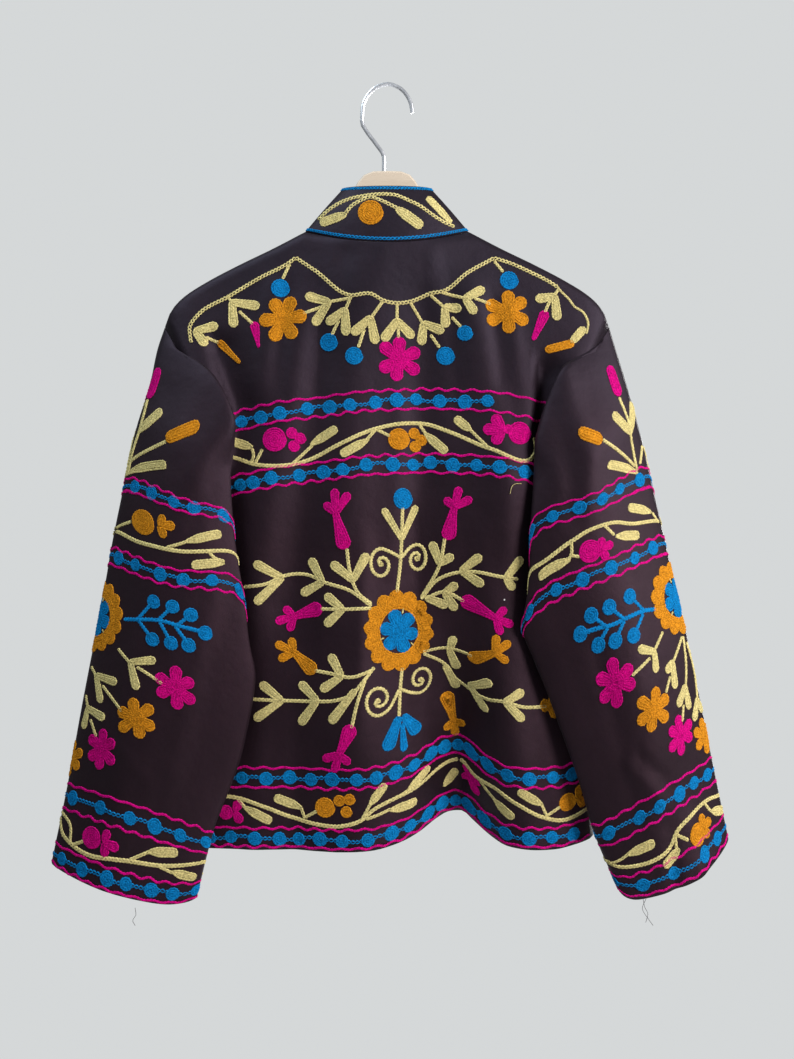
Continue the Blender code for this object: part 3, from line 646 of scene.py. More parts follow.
# Heights of a row's buried edges, and over which its faces show
BURIED = -0.35
SHOWN_FROM = -0.25
# How much narrower a row's ends are, how uneven its threads' heights are, and how many links long
# the shortest row is
END_TAPER = 0.7
UNEVEN = 0.17
SHORTEST = 0.6

# Sizes of the stitches
STITCH_HEIGHT = 0.95
LOW_HEIGHT = 0.9
ROW_PITCH = 2.15
ROW_WIDTH = 2.6
FILL_LINK = 3.1
DISC_LINK = 2.9
STEM_WIDTH = 4.7
STEM_LINK = 3.6
FINE_STEM = 4.0
CENTRE_STEM = 4.4
VINE_WIDTH = 5.0
WAVE_WIDTH = 3.2
WAVE_LINK = 3.3
WAVE_PERIOD = 17.5
WAVE_SWING = 1.15
BEAD_RADIUS = 7.4
BEAD_JOIN_WIDTH = 4.8
BEAD_JOIN_LINK = 4.3
# Pads under the stitches keep them raised in a shape's middle
PAD_HEIGHT = 0.42
PAD_INSET = 0.7
PAD_LINK = 3.2
DISC_PAD_LINK = 1.9

# Sizes of the motifs
LEAF_WIDTH = 10.4
LEAF_ROOT = 1.5
LONG_LEAF_WIDTH = 9.8
TULIP_WIDTH = 15
TULIP_PETAL = (7.4, 10.0)
ROUND_LOBE = 6.4
ROSETTE_PETALS = 14
PETALS = 6

# Points along a shape, and a half-width that sets no limit
SHAPE_POINTS = 61
NO_LIMIT = 1e3

# Links are this much longer on the sides that don't show: the fronts, and the sleeves' fronts,
# which lie before this place round
HIDDEN_LINK = 1.5
HIDDEN_FROM = -12

# The rows of stitches, by piece of cloth and colour, and the source of their unevenness
stitches = {}
chance = np.random.default_rng(7)


def lengths_along(path):
    """Distance along a path at each of its points."""
    return np.append(0, np.cumsum(np.linalg.norm(np.diff(path, axis=0), axis=1)))


def smooth_path(points, step=1.5):
    """Dense smooth path through a few points."""
    points = np.asarray(points, float)
    if len(points) == 2:
        count = max(2, int(np.linalg.norm(points[1] - points[0]) / step) + 1)
        return points[0] + (points[1] - points[0]) * np.linspace(0, 1, count)[:, None]
    lengths = lengths_along(points)
    at = np.linspace(0, lengths[-1], max(3, int(lengths[-1] / step) + 1))
    slope = np.gradient(points, lengths, axis=0)
    k = np.clip(np.searchsorted(lengths, at, side="right") - 1, 0, len(lengths) - 2)
    h = (lengths[k + 1] - lengths[k])[:, None]
    t = (at - lengths[k])[:, None] / h
    return hermite(points[k], points[k + 1], slope[k] * h, slope[k + 1] * h, t)


def chain(cloth, colour, path, width, link, kind=DENSE, height=LOW_HEIGHT):
    """One row of chain stitch along a path on a piece of cloth. The width is one number or one
    for each point of the path."""
    path = np.asarray(path, float)
    if lengths_along(path)[-1] < SHORTEST * link:
        return
    if cloth.startswith("front") or (cloth.startswith("sleeve") and path[:, 0].mean() < HIDDEN_FROM):
        link *= HIDDEN_LINK
    stitches.setdefault((cloth, colour), []).append((path, width, link, kind, height))


def strip_arrays(path, width, link, kind, height):
    """Flat places, heights and texture places of one row of chain stitch."""
    away = lengths_along(path)
    links = max(1, int(round(away[-1] / link)))
    at = np.linspace(0, away[-1], links * len(kind) + 1)
    middle = np.stack([np.interp(at, away, path[:, 0]), np.interp(at, away, path[:, 1])], axis=1)
    heading = unit(np.gradient(middle, axis=0))
    wide, threads, centre = np.array(kind)[np.arange(len(at)) % len(kind)].T
    width = np.interp(at, away, width) if np.ndim(width) else np.full(len(at), float(width))
    half = width / 2 * wide
    threads = height * threads
    if len(kind) > 1:
        half[[0, -1]] *= END_TAPER
        # Three rows of numbers are drawn, and only the first is used
        uneven = chance.normal(0, 1, (3, len(at)))[0]
        threads = threads * (1 + UNEVEN * np.clip(uneven, -2, 2))
    lateral = ACROSS_LINK[None, :] * half[:, None]
    u = middle[:, :1] - heading[:, 1:] * lateral
    v = middle[:, 1:] + heading[:, :1] * lateral
    low = np.full_like(threads, BURIED)
    heights = np.stack([low, threads, height * centre, threads, low], axis=1)
    along = np.repeat((at / link)[:, None], len(ACROSS_LINK), axis=1)
    return u, v, heights, np.stack([along, lateral / width[:, None] + 0.5], axis=-1)


def build_stitches(surfaces, materials):
    """One object for each piece of cloth and thread colour."""
    made = {}
    for (cloth, colour), rows in stitches.items():
        strips = [strip_arrays(*row) for row in rows]
        quads, caps, start = [], [], 0
        for _, _, heights, _ in strips:
            index = start + np.arange(heights.size).reshape(heights.shape)
            turned = np.roll(index, -1, axis=1)
            sides = np.stack([index[:-1], index[1:], turned[1:], turned[:-1]], axis=-1)
            quads.append(sides.reshape(-1, 4))
            caps += [index[0][::-1], index[-1]]
            start += heights.size
        quads, caps = np.concatenate(quads), np.stack(caps)
        u, v, heights = (np.concatenate([strip[k].ravel() for strip in strips]) for k in range(3))
        vertices, normals = on_cloth(surfaces[cloth], u, v, heights)
        shown = quads[heights[quads].min(axis=1) > SHOWN_FROM]
        if looks_in(vertices, shown, normals):
            quads, caps = quads[:, ::-1], caps[:, ::-1]
        uv = np.concatenate([strip[3].reshape(-1, 2) for strip in strips])
        piece = new_object("stitch_" + cloth + "_" + colour, vertices, [quads, caps], uv)
        piece.data.materials.append(materials[colour])
        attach(piece, "root")
        made.setdefault(cloth.split("_rim")[0], []).append(piece)
    return made


def swelling(length, low, high, reach):
    """Places along a shape, and half-widths that grow there from a round base of half-width low
    to high, over the first part of its length."""
    s = np.linspace(0, length, SHAPE_POINTS)
    half = low + (high - low) * eased(s / (reach * length))
    base = np.sqrt(np.clip(low**2 - (low - s) ** 2, 0, None)) + NO_LIMIT * (s >= low)
    return s, np.minimum(half, base)


def club(length, low, high):
    """Half-widths along a shape with round ends of their own widths."""
    s, half = swelling(length, low, high, 1)
    start = length - high
    tip = np.sqrt(np.clip(high**2 - (s - start) ** 2, 0, None)) + NO_LIMIT * (s <= start)
    return np.minimum(half, tip)


def pod(length, low, high):
    """Half-widths along a shape that widens soon after its base and has a blunt tip."""
    s, half = swelling(length, low, high, 0.42)
    left = np.clip((length - s) / (0.9 * high), 0, 1)
    return np.minimum(half, high * (1 - (1 - left) ** 2.5) ** 0.4)


def fill(cloth, colour, base, tip, base_width, tip_width, shape=club):
    """Rows of chain stitch, one inside the other, that fill a shape from its base to its tip."""
    base, tip = np.asarray(base, float), np.asarray(tip, float)
    length = np.linalg.norm(tip - base)
    profile = shape(length, base_width / 2, tip_width / 2)
    ahead = unit(tip - base)
    across = np.array([-ahead[1], ahead[0]])
    s = np.linspace(0, length, SHAPE_POINTS)
    padded = np.where(profile > PAD_INSET)[0]
    if len(padded) > 4:
        line = base + ahead * s[padded][:, None]
        chain(cloth, colour, line, 2 * (profile[padded] - PAD_INSET), PAD_LINK, PAD, PAD_HEIGHT)
    inset = ROW_WIDTH / 2
    while True:
        left = profile - inset
        keep = np.where(left > 0)[0]
        if left.max() <= 0.4 * ROW_PITCH or len(keep) <= 3:
            break
        side, off = s[keep], left[keep]
        out = base + ahead * side[:, None] + across * off[:, None]
        back = base + ahead * side[::-1, None] - across * off[::-1, None]
        ring = np.concatenate([out, back, out[:2]])
        chain(cloth, colour, ring, ROW_WIDTH, FILL_LINK, height=STITCH_HEIGHT)
        inset += ROW_PITCH
    reach = np.where(profile > inset - 0.6 * ROW_PITCH)[0]
    if len(reach) > 2:
        line = base + ahead * s[reach[[0, -1]]][:, None]
        chain(cloth, colour, smooth_path(line), ROW_WIDTH, FILL_LINK, height=STITCH_HEIGHT)


def disc(cloth, colour, centre, radius, stretch=1.0, height=STITCH_HEIGHT):
    """A round filled by a spiral of chain stitch."""
    centre = np.asarray(centre, float)
    outer = radius - ROW_WIDTH / 2
    turns = max(outer / ROW_PITCH, 0.6)
    angle = np.linspace(0, 2 * math.pi * (turns + 0.5), max(14, int(20 * turns)))
    reach = np.clip(outer - ROW_PITCH * np.clip(angle / (2 * math.pi) - 0.5, 0, None), 0.25, outer)
    path = centre + np.stack([np.cos(angle), np.sin(angle) * stretch], axis=1) * reach[:, None]
    chain(cloth, colour, path, ROW_WIDTH, DISC_LINK, height=height)
    around = np.linspace(-1, 1, 25)
    line = centre + np.stack([around * (radius - PAD_INSET), np.zeros(25)], axis=1)
    width = 2 * (radius - PAD_INSET) * np.sqrt(np.clip(1 - around**2, 0, 1)) * stretch
    chain(cloth, colour, line, np.maximum(width, 0.4), DISC_PAD_LINK, PAD, PAD_HEIGHT)


def blossom(cloth, colour, centre, radius, turn):
    """Flower of sausage-shaped petals, a little uneven, that meet in a solid middle."""
    centre = np.asarray(centre, float)
    for k in range(PETALS):
        angle = math.radians(turn + 360 / PETALS * k + 5 * math.sin(2.7 * k + radius))
        ahead = np.array([math.cos(angle), math.sin(angle)]) * radius
        far = 1 + 0.05 * math.sin(1.9 * k + turn)
        fill(cloth, colour, centre + ahead * 0.10, centre + ahead * far, radius * 0.48, radius * 0.68)
    disc(cloth, colour, centre, radius * 0.46, height=1.0)


def stem(cloth, points, width=STEM_WIDTH, kind=TIGHT):
    """A single row, as stems and vines are."""
    chain(cloth, "yellow", smooth_path(points), width, STEM_LINK, kind, STITCH_HEIGHT)


def leaves(cloth, base, tips, width=LEAF_WIDTH):
    """Leaves with round tips, all from one base."""
    for tip in tips:
        start = np.asarray(base, float) - LEAF_ROOT * unit(np.subtract(tip, base))
        fill(cloth, "yellow", start, tip, width * 0.76, width)


def long_leaf(cloth, base, tip, width=LONG_LEAF_WIDTH):
    """A leaf on a vine, narrow at its base and blunt at its tip."""
    ahead = unit(np.subtract(tip, base))
    start, end = np.asarray(base, float) - LEAF_ROOT * ahead, np.asarray(tip, float) + ahead
    fill(cloth, "yellow", start, end, width * 0.5, width, pod)


def tulip(cloth, colour, foot, neck, heads):
    """A long body, wide at its foot, with a head of three short petals at its neck."""
    foot, neck = np.asarray(foot, float), np.asarray(neck, float)
    down = unit(foot - neck)
    start, end = neck - down * 3, foot + down * 1.5
    fill(cloth, colour, start, end, TULIP_WIDTH * 0.5, TULIP_WIDTH * 1.08)
    for tip in heads:
        fill(cloth, colour, neck, tip, *TULIP_PETAL)


def fruit(cloth, colour, centre, radius, lobes, lobe_radius, stretch=1.0):
    """A round fruit with a tail of small long lobes."""
    disc(cloth, colour, centre, radius, stretch)
    lobes = np.asarray(lobes, float)
    heart = 0.75 * lobes.mean(axis=0) + 0.25 * np.asarray(centre, float)
    for lobe in lobes:
        tip = lobe + unit(lobe - heart) * lobe_radius
        fill(cloth, colour, heart, tip, lobe_radius * 1.5, lobe_radius * 2.1)


def round_fruit(cloth, colour, centre, radius, lobes):
    """A round fruit with a tail of small rounds."""
    for place, size in [(centre, radius)] + [(lobe, ROUND_LOBE) for lobe in lobes]:
        disc(cloth, colour, place, size)


def wave(cloth, points, phase):
    """A line of chain stitch that waves about a smooth path."""
    path = smooth_path(points, 1.2)
    away = lengths_along(path)
    heading = unit(np.gradient(path, axis=0))
    turn = 2 * math.pi * away / WAVE_PERIOD + phase + 1.1 * np.sin(away / 37 + phase)
    off = WAVE_SWING * np.sin(turn) * (0.85 + 0.35 * np.sin(away / 31 + 1.7 * phase))
    off += 0.2 * np.sin(away / 4.6 + 2 * phase)
    path = path + np.stack([-heading[:, 1], heading[:, 0]], axis=1) * off[:, None]
    chain(cloth, "magenta", path, WAVE_WIDTH, WAVE_LINK)


def bead_row(cloth, places, phase=0.0):
    """Round beads joined by a thin double thread."""
    places = np.asarray(places, float)
    for k, place in enumerate(places):
        size = BEAD_RADIUS * (1 + 0.07 * math.sin(2.3 * k + phase))
        disc(cloth, "blue", place, size, 1 + 0.05 * math.sin(1.7 * k))
    for k, (start, end) in enumerate(zip(places[:-1], places[1:])):
        middle = (start + end) / 2 + np.array([0, 1.6 * math.sin(2.1 * k + phase)])
        path = smooth_path([start, middle, end])
        chain(cloth, "blue", path, BEAD_JOIN_WIDTH, BEAD_JOIN_LINK, OPEN, 0.85)


def rosette(cloth, centre, width, height):
    """A ring of round orange petals about a blue flower."""
    centre = np.asarray(centre, float)
    size = np.array([width, height]) / 2
    mean = size.mean()
    turn = np.linspace(0, 2 * math.pi, 169)
    ring = np.stack([np.cos(turn), np.sin(turn)], axis=1)
    chain(cloth, "orange", centre + ring * size * 0.74, mean * 0.42, 3.0, PAD, PAD_HEIGHT)

    def ray(angle):
        return np.array([math.cos(angle), math.sin(angle)]) * size

    half = math.pi / ROSETTE_PETALS * mean * 0.93
    for k in range(ROSETTE_PETALS):
        ahead = ray(2 * math.pi * (k + 0.3) / ROSETTE_PETALS)
        fill(cloth, "orange", centre + ahead * 0.62, centre + ahead, half * 1.5, half * 2.15)
    for share in (0.57, 0.63, 0.69):
        chain(cloth, "orange", centre + ring * size * share, ROW_WIDTH * 1.1, FILL_LINK, height=1.0)
    for k in range(PETALS):
        ahead = ray(math.radians(60 * k + 12))
        fill(cloth, "blue", centre + ahead * 0.06, centre + ahead * 0.55, mean * 0.28, mean * 0.42)
        if k % 2 == 0:
            ahead = ray(math.radians(60 * k + 42))
            chain(cloth, "yellow", smooth_path([centre + ahead * 0.45, centre + ahead * 0.58]), 2.0, 2.6)
    disc(cloth, "blue", centre, mean * 0.26, height=1.05)


# A scroll's line: turns made, part of its full size
SPIRAL = [(0, 1.0), (0.25, 0.97), (0.5, 0.90), (0.75, 0.76), (1.0, 0.42), (1.25, 0.28), (1.45, 0.05)]


def scroll(cloth, start, centre, size, first, way):
    """A line that leaves a stem and winds into a spiral, which it meets at an angle in degrees.
    The size is the spiral's half-width and half-height, and way is 1 or -1."""
    turned = np.linspace(0, SPIRAL[-1][0], 19)
    angle = math.radians(first) + way * 2 * math.pi * turned
    ring = np.stack([np.cos(angle) * size[0], np.sin(angle) * size[1]], axis=1)
    ring *= through_table(SPIRAL, turned)[:, None]
    path = smooth_path(np.concatenate([[start], np.asarray(centre, float) + ring]), 1.0)
    chain(cloth, "yellow", path, 4.6, 3.0, DENSE, 1.0)
    disc(cloth, "yellow", path[-1], 3.6, height=1.05)


# The pattern on the body, as (across, depth). It is laid on the back, and its two sides are laid
# on the fronts, between these places across. A bead's middle keeps BEAD_SPARE to an edge.
PATTERN_HALF = 205
PATTERN_FRONT = 4
BEAD_SPARE = 7
LINE_STEP = 15.0
YOKE_LEAF_WIDTH = 10.8
TOP_LEAF_WIDTH = 8.2

# How much lower the chest's band hangs: place across, amount
DROOP = [
    (-190, 29), (-150, 22), (-105, 13), (-60, 8), (-20, 3), (40, 0), (85, 2), (115, 5), (150, 12),
    (190, 20),
]

YOKE_LINE = [
    [(-193, 260), (-194, 242), (-186, 231), (-156, 213), (-126, 195), (-97, 180), (-90, 175)],
    [
        (-90, 175), (-70, 189), (-36, 214), (-15, 213), (-4, 219), (14, 221), (24, 219), (44, 211),
        (55, 209), (80, 190), (106, 175),
    ],
    [(106, 175), (122, 180), (142, 189), (158, 197), (169, 204)],
]
YOKE_END = [(168, 203), (173, 209), (180, 216), (185, 223), (194, 229), (198.5, 239), (197, 252)]
# Leaves: base, tips
YOKE_LEAVES = [
    [(-189, 248), (-167, 242), (-178, 262)], [(-153, 219), (-151, 244), (-126, 223)],
    [(-57, 220), (-80, 213), (-72, 242)], [(-41, 228), (-59, 241), (-40, 253)],
    [(-16, 236), (-34, 252), (-11, 261)], [(10, 238), (-4, 258), (26, 254)],
    [(36, 240), (34, 261), (56, 248)], [(57, 224), (58, 244), (73, 226)],
    [(77, 216), (96, 206), (87, 231)], [(166, 213), (147, 216), (168, 237)],
]
YOKE_STEMS = [
    [(-96, 181), (-103, 196)], [(-57, 220), (-37, 217)], [(-58, 222), (-82, 231)],
    [(-41, 229), (-35, 215)], [(-47, 238), (-54, 252)], [(-16, 237), (-4, 220)], [(-22, 247), (-28, 265)],
    [(10, 239), (10, 221)], [(11, 244), (11.5, 255)], [(36, 241), (23, 220)], [(43, 251), (52, 264)],
    [(57, 225), (43, 213)], [(64, 234), (73, 244)], [(54, 210), (77, 216)], [(86, 216), (102, 221)],
    [(106, 178), (115, 189)], [(170, 206), (161, 218), (156, 229)], [(-146, 228), (-132, 241)],
    [(-178, 254), (-166, 259)], [(-153, 219), (-158, 213)],
]
# A bud: base, tip, width at each, colour
YOKE_BUDS = [
    [(-167, 257), (-145, 279), 8.5, 5, "orange"], [(-131, 239), (-126, 265), 10.5, 4, "magenta"],
    [(157, 228), (144, 257), 11.5, 6, "magenta"], [(184, 260), (156, 267), 9.5, 9, "orange"],
    [(181.5, 259.5), (195, 244.5), 8.5, 10, "yellow"],
]
# Blue rounds: centre, radius
YOKE_ROUNDS = [
    [(-105, 205), 9.8], [(-57, 259), 9.5], [(-32, 273), 9.4], [(58, 272), 9.8], [(77, 250), 8.4],
    [(121, 197), 9.8],
]
# Flowers: centre, radius, turn in degrees, colour
YOKE_FLOWERS = [
    [(-102, 236), 23, -3, "orange"], [(12, 276), 22, -25, "magenta"], [(119, 229), 22, 28, "orange"],
]

# The two wide bands: how far their lines reach to each side, whether they droop, how uneven the
# beads' depths are and how large the fruits' lobes. Lines have a depth and a phase, beads a depth
# and places across, the bloom's petals a width at both ends, and fruits a centre, a radius, lobes
# and a colour.
CHEST = {
    "reach": 186,
    "droops": 1,
    "swing": 1.2,
    "lobe_radius": 6.4,
    "lines": [(305, 0.3), (324, 1.9), (369, 0.9), (387, 2.6)],
    "beads": [
        (315, [-183, -164, -144, -124, -105, -78, -56, -36, -11, 10, 29, 52, 77, 99]),
        (378, [-180, -160, -144, -131, -113, -86, -62, -43, -20, 6, 26, 43, 65, 88, 110, 135, 160, 181]),
    ],
    "vines": [
        [
            (-186, 344), (-152, 350), (-131, 361), (-93, 368), (-76, 365), (-47, 354), (-10, 342),
            (22, 338), (36, 339), (63, 347), (101, 361), (142, 363), (146, 356), (145, 342),
        ],
    ],
    "leaves": [
        [(-133, 344), (-153, 334)], [(-74, 350), (-50, 338)], [(-19, 353), (-44, 364)],
        [(38, 349), (58, 366)], [(82, 344), (68, 333)], [(-168, 340), (-184, 328)],
    ],
    "stems": [
        [(-134, 361), (-131, 352), (-133, 345)], [(-129, 360), (-122, 348)], [(-92, 367), (-73, 351)],
        [(-11, 343), (-20, 353)], [(-10, 343), (3, 350)], [(31, 338), (39, 350)], [(100, 361), (82, 344)],
    ],
    "bloom": [],
    "fruits": [
        [(-110, 341), 12.6, [(-93, 337), (-85, 343), (-91, 350)], "magenta"],
        [(12, 353), 11.4, [(27, 348), (34, 355), (28, 361)], "orange"],
        [(130, 341), 12.0, [(108, 333), (101, 342), (108, 350), (116, 341)], "magenta"],
    ],
}
HEM = {
    "reach": 201,
    "droops": 0,
    "swing": 0.8,
    "lobe_radius": 5.6,
    "lines": [(677, 0.4), (696, 1.6), (736, 2.3), (754, 0.1)],
    "beads": [
        (686.5, [
            -190, -166, -142, -118, -95, -74, -53, -29, -10, 9, 27, 44, 58, 72, 84, 100, 118, 139, 163,
            183,
        ]),
        (745.5, [
            -195, -175, -153, -129, -105, -86, -65, -43, -18, 5, 23, 41, 56, 70, 83, 98, 117, 139, 162,
            184,
        ]),
    ],
    "vines": [
        [
            (-200, 716), (-176, 706), (-146, 707), (-120, 715), (-94, 725), (-68, 731), (-44, 732),
            (-25, 727), (-13, 718), (9, 712), (33, 710), (54, 706), (72, 702),
        ],
        [(74, 702), (86, 708), (108, 705), (127, 713), (150, 724), (177, 730), (200, 726)],
    ],
    "leaves": [
        [(-139, 716), (-114, 729)], [(-84, 716), (-109, 706)], [(-16, 712), (-2, 696)],
        [(21, 709), (41, 699)], [(4, 722), (28, 724)], [(58, 728), (70, 714)], [(107, 717), (123, 727)],
        [(151, 712), (129, 700)], [(-166, 716), (-184, 728)],
    ],
    "stems": [
        [(-146, 708), (-139, 716)], [(-84, 716), (-80, 726)], [(-80, 725), (-68, 718)],
        [(-25, 728), (-16, 712)], [(-20, 726), (4, 721)], [(9, 712), (21, 709)], [(93, 709), (107, 717)],
        [(151, 712), (157, 725)], [(156, 724), (170, 716)],
    ],
    "bloom": [
        [(77, 706), (91, 726), 4.5, 10.5], [(82, 713), (77, 721), 5, 7], [(83, 712), (93, 714), 5, 7],
    ],
    "fruits": [
        [(-60, 714), 10.5, [(-46, 707), (-36, 706), (-39, 718)], "orange"],
        [(-158, 721), 8.0, [(-147, 715), (-146, 726)], "magenta"],
        [(178, 713), 9.5, [(190, 706), (193, 717)], "orange"],
    ],
}

# The middle of the back
ROSETTE = (12, 544)
ROSETTE_SIZE = (68, 82)
CENTRE_STEMS = [
    [(15.5, 422), (14.5, 452), (13.7, 471), (10, 505)], [(-39, 462), (-36, 484), (-28, 505), (-15, 516)],
    [(-15, 518), (-36, 503), (-61, 495), (-78, 488), (-104, 490), (-116, 496), (-140, 500)],
    [(-15, 520), (-40, 521), (-64, 521)], [(-70, 581), (-51, 584), (-37, 587), (-14, 581)],
    [(-12, 578), (-25, 594), (-34, 604), (-48, 609), (-74, 611), (-103, 611), (-134, 610)],
    [(-20, 587), (-29, 614), (-34, 636)], [(15, 582), (13, 606), (12, 632)],
    [(57, 452), (52, 478), (34, 511)],
    [(34, 512), (50, 493), (68, 486), (87, 485), (108, 489), (128, 492)],
    [(38, 512), (56, 505), (76, 514)], [(36, 568), (59, 566), (84, 574)],
    [(36, 570), (56, 585), (68, 606), (83, 617), (97, 617), (114, 613), (133, 617), (156, 617)],
]
CENTRE_LEAVES = [
    [(-33, 493), (-54, 476), (-19, 467)], [(52, 477), (44, 456), (65, 469)],
    [(-63, 495), (-75, 472), (-84, 507)], [(-103, 491), (-130, 476), (-129, 516)],
    [(-43, 521), (-60, 507), (-60, 537)], [(-44, 586), (-55, 565), (-64, 600)],
    [(-68, 610), (-85, 593), (-85, 634)], [(-103, 611), (-124, 594), (-130, 630)],
    [(73, 484), (92, 469), (94, 498)], [(116, 491), (132, 471), (124, 502)],
    [(57, 506), (69, 497), (68, 523)], [(62, 569), (66, 552), (70, 593)],
    [(82, 612), (102, 596), (98, 631)], [(115, 613), (133, 601), (133, 630)], [(-31, 600), (-55, 631)],
    [(39, 511), (60, 519)], [(58, 589), (70, 619)],
]
CENTRE_TOP_LEAVES = [(14.6, 453), (-3.6, 423), (29, 420)]
# Tulips: foot, neck, the tips of the head's petals, colour
CENTRE_TULIPS = [
    [(-41, 461), (-50, 428), [(-61, 418), (-51, 404), (-37, 408)], "magenta"],
    [(60, 452), (66, 422), [(57, 413), (71, 402), (83, 413)], "magenta"],
    [(-65, 520), (-91, 529), [(-101, 520), (-109, 534), (-96, 543)], "magenta"],
    [(-71, 582), (-91, 564), [(-94, 550), (-109, 555), (-106, 571)], "orange"],
    [(75, 512), (106, 530), [(116, 520), (123, 537), (111, 546)], "magenta"],
    [(82, 577), (105, 565), [(107, 547), (120, 553), (118, 573)], "orange"],
    [(-34, 635), (-46, 661), [(-62, 667), (-51, 679), (-36, 671)], "magenta"],
    [(59, 626), (67, 661), [(58, 670), (69, 677), (78, 664)], "orange"],
    [(152, 616), (160, 616), [(166, 604), (173, 616), (166, 628)], "orange"],
]
# Scrolls: start on the stem, centre, half-width and half-height, where they begin, way round
CENTRE_SCROLLS = [
    [(13.5, 471), (-5.5, 476.5), (10.6, 14.4), -62, -1],
    [(14.5, 471), (29.5, 471.5), (9.2, 13.2), -118, 1], [(12.5, 604), (-8.0, 612), (12.2, 14.6), 62, 1],
    [(13, 604), (33, 600), (10.8, 14.8), 118, -1],
]
BLUE_TULIP = [[(12, 632), (0, 663), 15.5], [(16, 632), (31, 657), 14], [(15, 640), (17, 669), 8.5]]
BLUE_TOP = [(16, 413), 10.0]


def droop(across):
    """How much lower the chest's band hangs there."""
    return np.interp(across, [row[0] for row in DROOP], [row[1] for row in DROOP])


def pattern_on_body(cloth, low, high):
    """The body's pattern between two places across, on the back or on a front."""
    is_back = low < 0 < high

    def inside(*points, spare=0):
        return all(low <= p[0] - spare and p[0] + spare <= high for p in points)

    def cut(points):
        return [p for p in points if inside(p)]

    def pattern_on_band(plan):
        """Waving lines, beads, and a vine with its leaves, stems, buds and fruits."""

        def hung(point):
            return (point[0], point[1] + plan["droops"] * float(droop(point[0])))

        first, last = max(low, -plan["reach"]), min(high, plan["reach"])
        across = np.unique(np.append(np.arange(first, last + 1, LINE_STEP), last))
        for depth, phase in plan["lines"]:
            wave(cloth, [hung((x, depth)) for x in across], phase)
        for depth, places in plan["beads"]:
            swung = [(x, depth + plan["swing"] * math.sin(x)) for x in places]
            bead_row(cloth, [hung(p) for p in swung if inside(p, spare=BEAD_SPARE)])
        for line in plan["vines"]:
            if len(cut(line)) > 1:
                stem(cloth, [hung(p) for p in cut(line)], VINE_WIDTH)
        for base, tip in plan["leaves"]:
            if inside(base, tip):
                long_leaf(cloth, hung(base), hung(tip))
        for points in plan["stems"]:
            if inside(*points):
                stem(cloth, [hung(p) for p in points], FINE_STEM)
        for base, tip, low_width, high_width in plan["bloom"]:
            if inside(base, tip):
                fill(cloth, "magenta", hung(base), hung(tip), low_width, high_width)
        for centre, radius, lobes, colour in plan["fruits"]:
            if not (inside(centre, spare=radius) and inside(*lobes)):
                continue
            places = [hung(p) for p in lobes]
            if is_back and len(lobes) == 3:
                round_fruit(cloth, colour, hung(centre), radius, places)
            else:
                fruit(cloth, colour, hung(centre), radius, places, plan["lobe_radius"])

    for line in YOKE_LINE:
        if len(cut(line)) > 1:
            stem(cloth, cut(line), kind=HOLLOW)
    if inside(*YOKE_END):
        stem(cloth, YOKE_END, 3.0)
    for base, *tips in YOKE_LEAVES:
        if inside(base, *tips):
            leaves(cloth, base, tips, YOKE_LEAF_WIDTH)
    # Stems near the middle that end at a motif of the back alone aren't on the fronts
    for points in YOKE_STEMS:
        if inside(*points) and (is_back or abs(points[0][0]) > 14):
            stem(cloth, points, FINE_STEM)
    for base, tip, low_width, high_width, colour in YOKE_BUDS:
        if inside(base, tip):
            fill(cloth, colour, base, tip, low_width, high_width)
    for centre, radius in YOKE_ROUNDS:
        if inside(centre):
            disc(cloth, "blue", centre, radius)
    for centre, radius, turn, colour in YOKE_FLOWERS:
        if inside(centre, spare=radius):
            blossom(cloth, colour, centre, radius, turn)

    pattern_on_band(CHEST)

    if is_back:
        rosette(cloth, ROSETTE, *ROSETTE_SIZE)
        disc(cloth, "blue", *BLUE_TOP, 1.15)
        leaves(cloth, CENTRE_TOP_LEAVES[0], CENTRE_TOP_LEAVES[1:], TOP_LEAF_WIDTH)
        for row in CENTRE_SCROLLS:
            scroll(cloth, *row)
        for base, tip, width in BLUE_TULIP:
            fill(cloth, "blue", base, tip, width * 0.6, width)
    for points in CENTRE_STEMS:
        if inside(*points) and (is_back or max(abs(p[0]) for p in points) > 20):
            stem(cloth, points, CENTRE_STEM)
    for base, *tips in CENTRE_LEAVES:
        if inside(base, *tips):
            leaves(cloth, base, tips)
    for foot, neck, heads, colour in CENTRE_TULIPS:
        if inside(foot, neck, *heads):
            tulip(cloth, colour, foot, neck, heads)

    pattern_on_band(HEM)


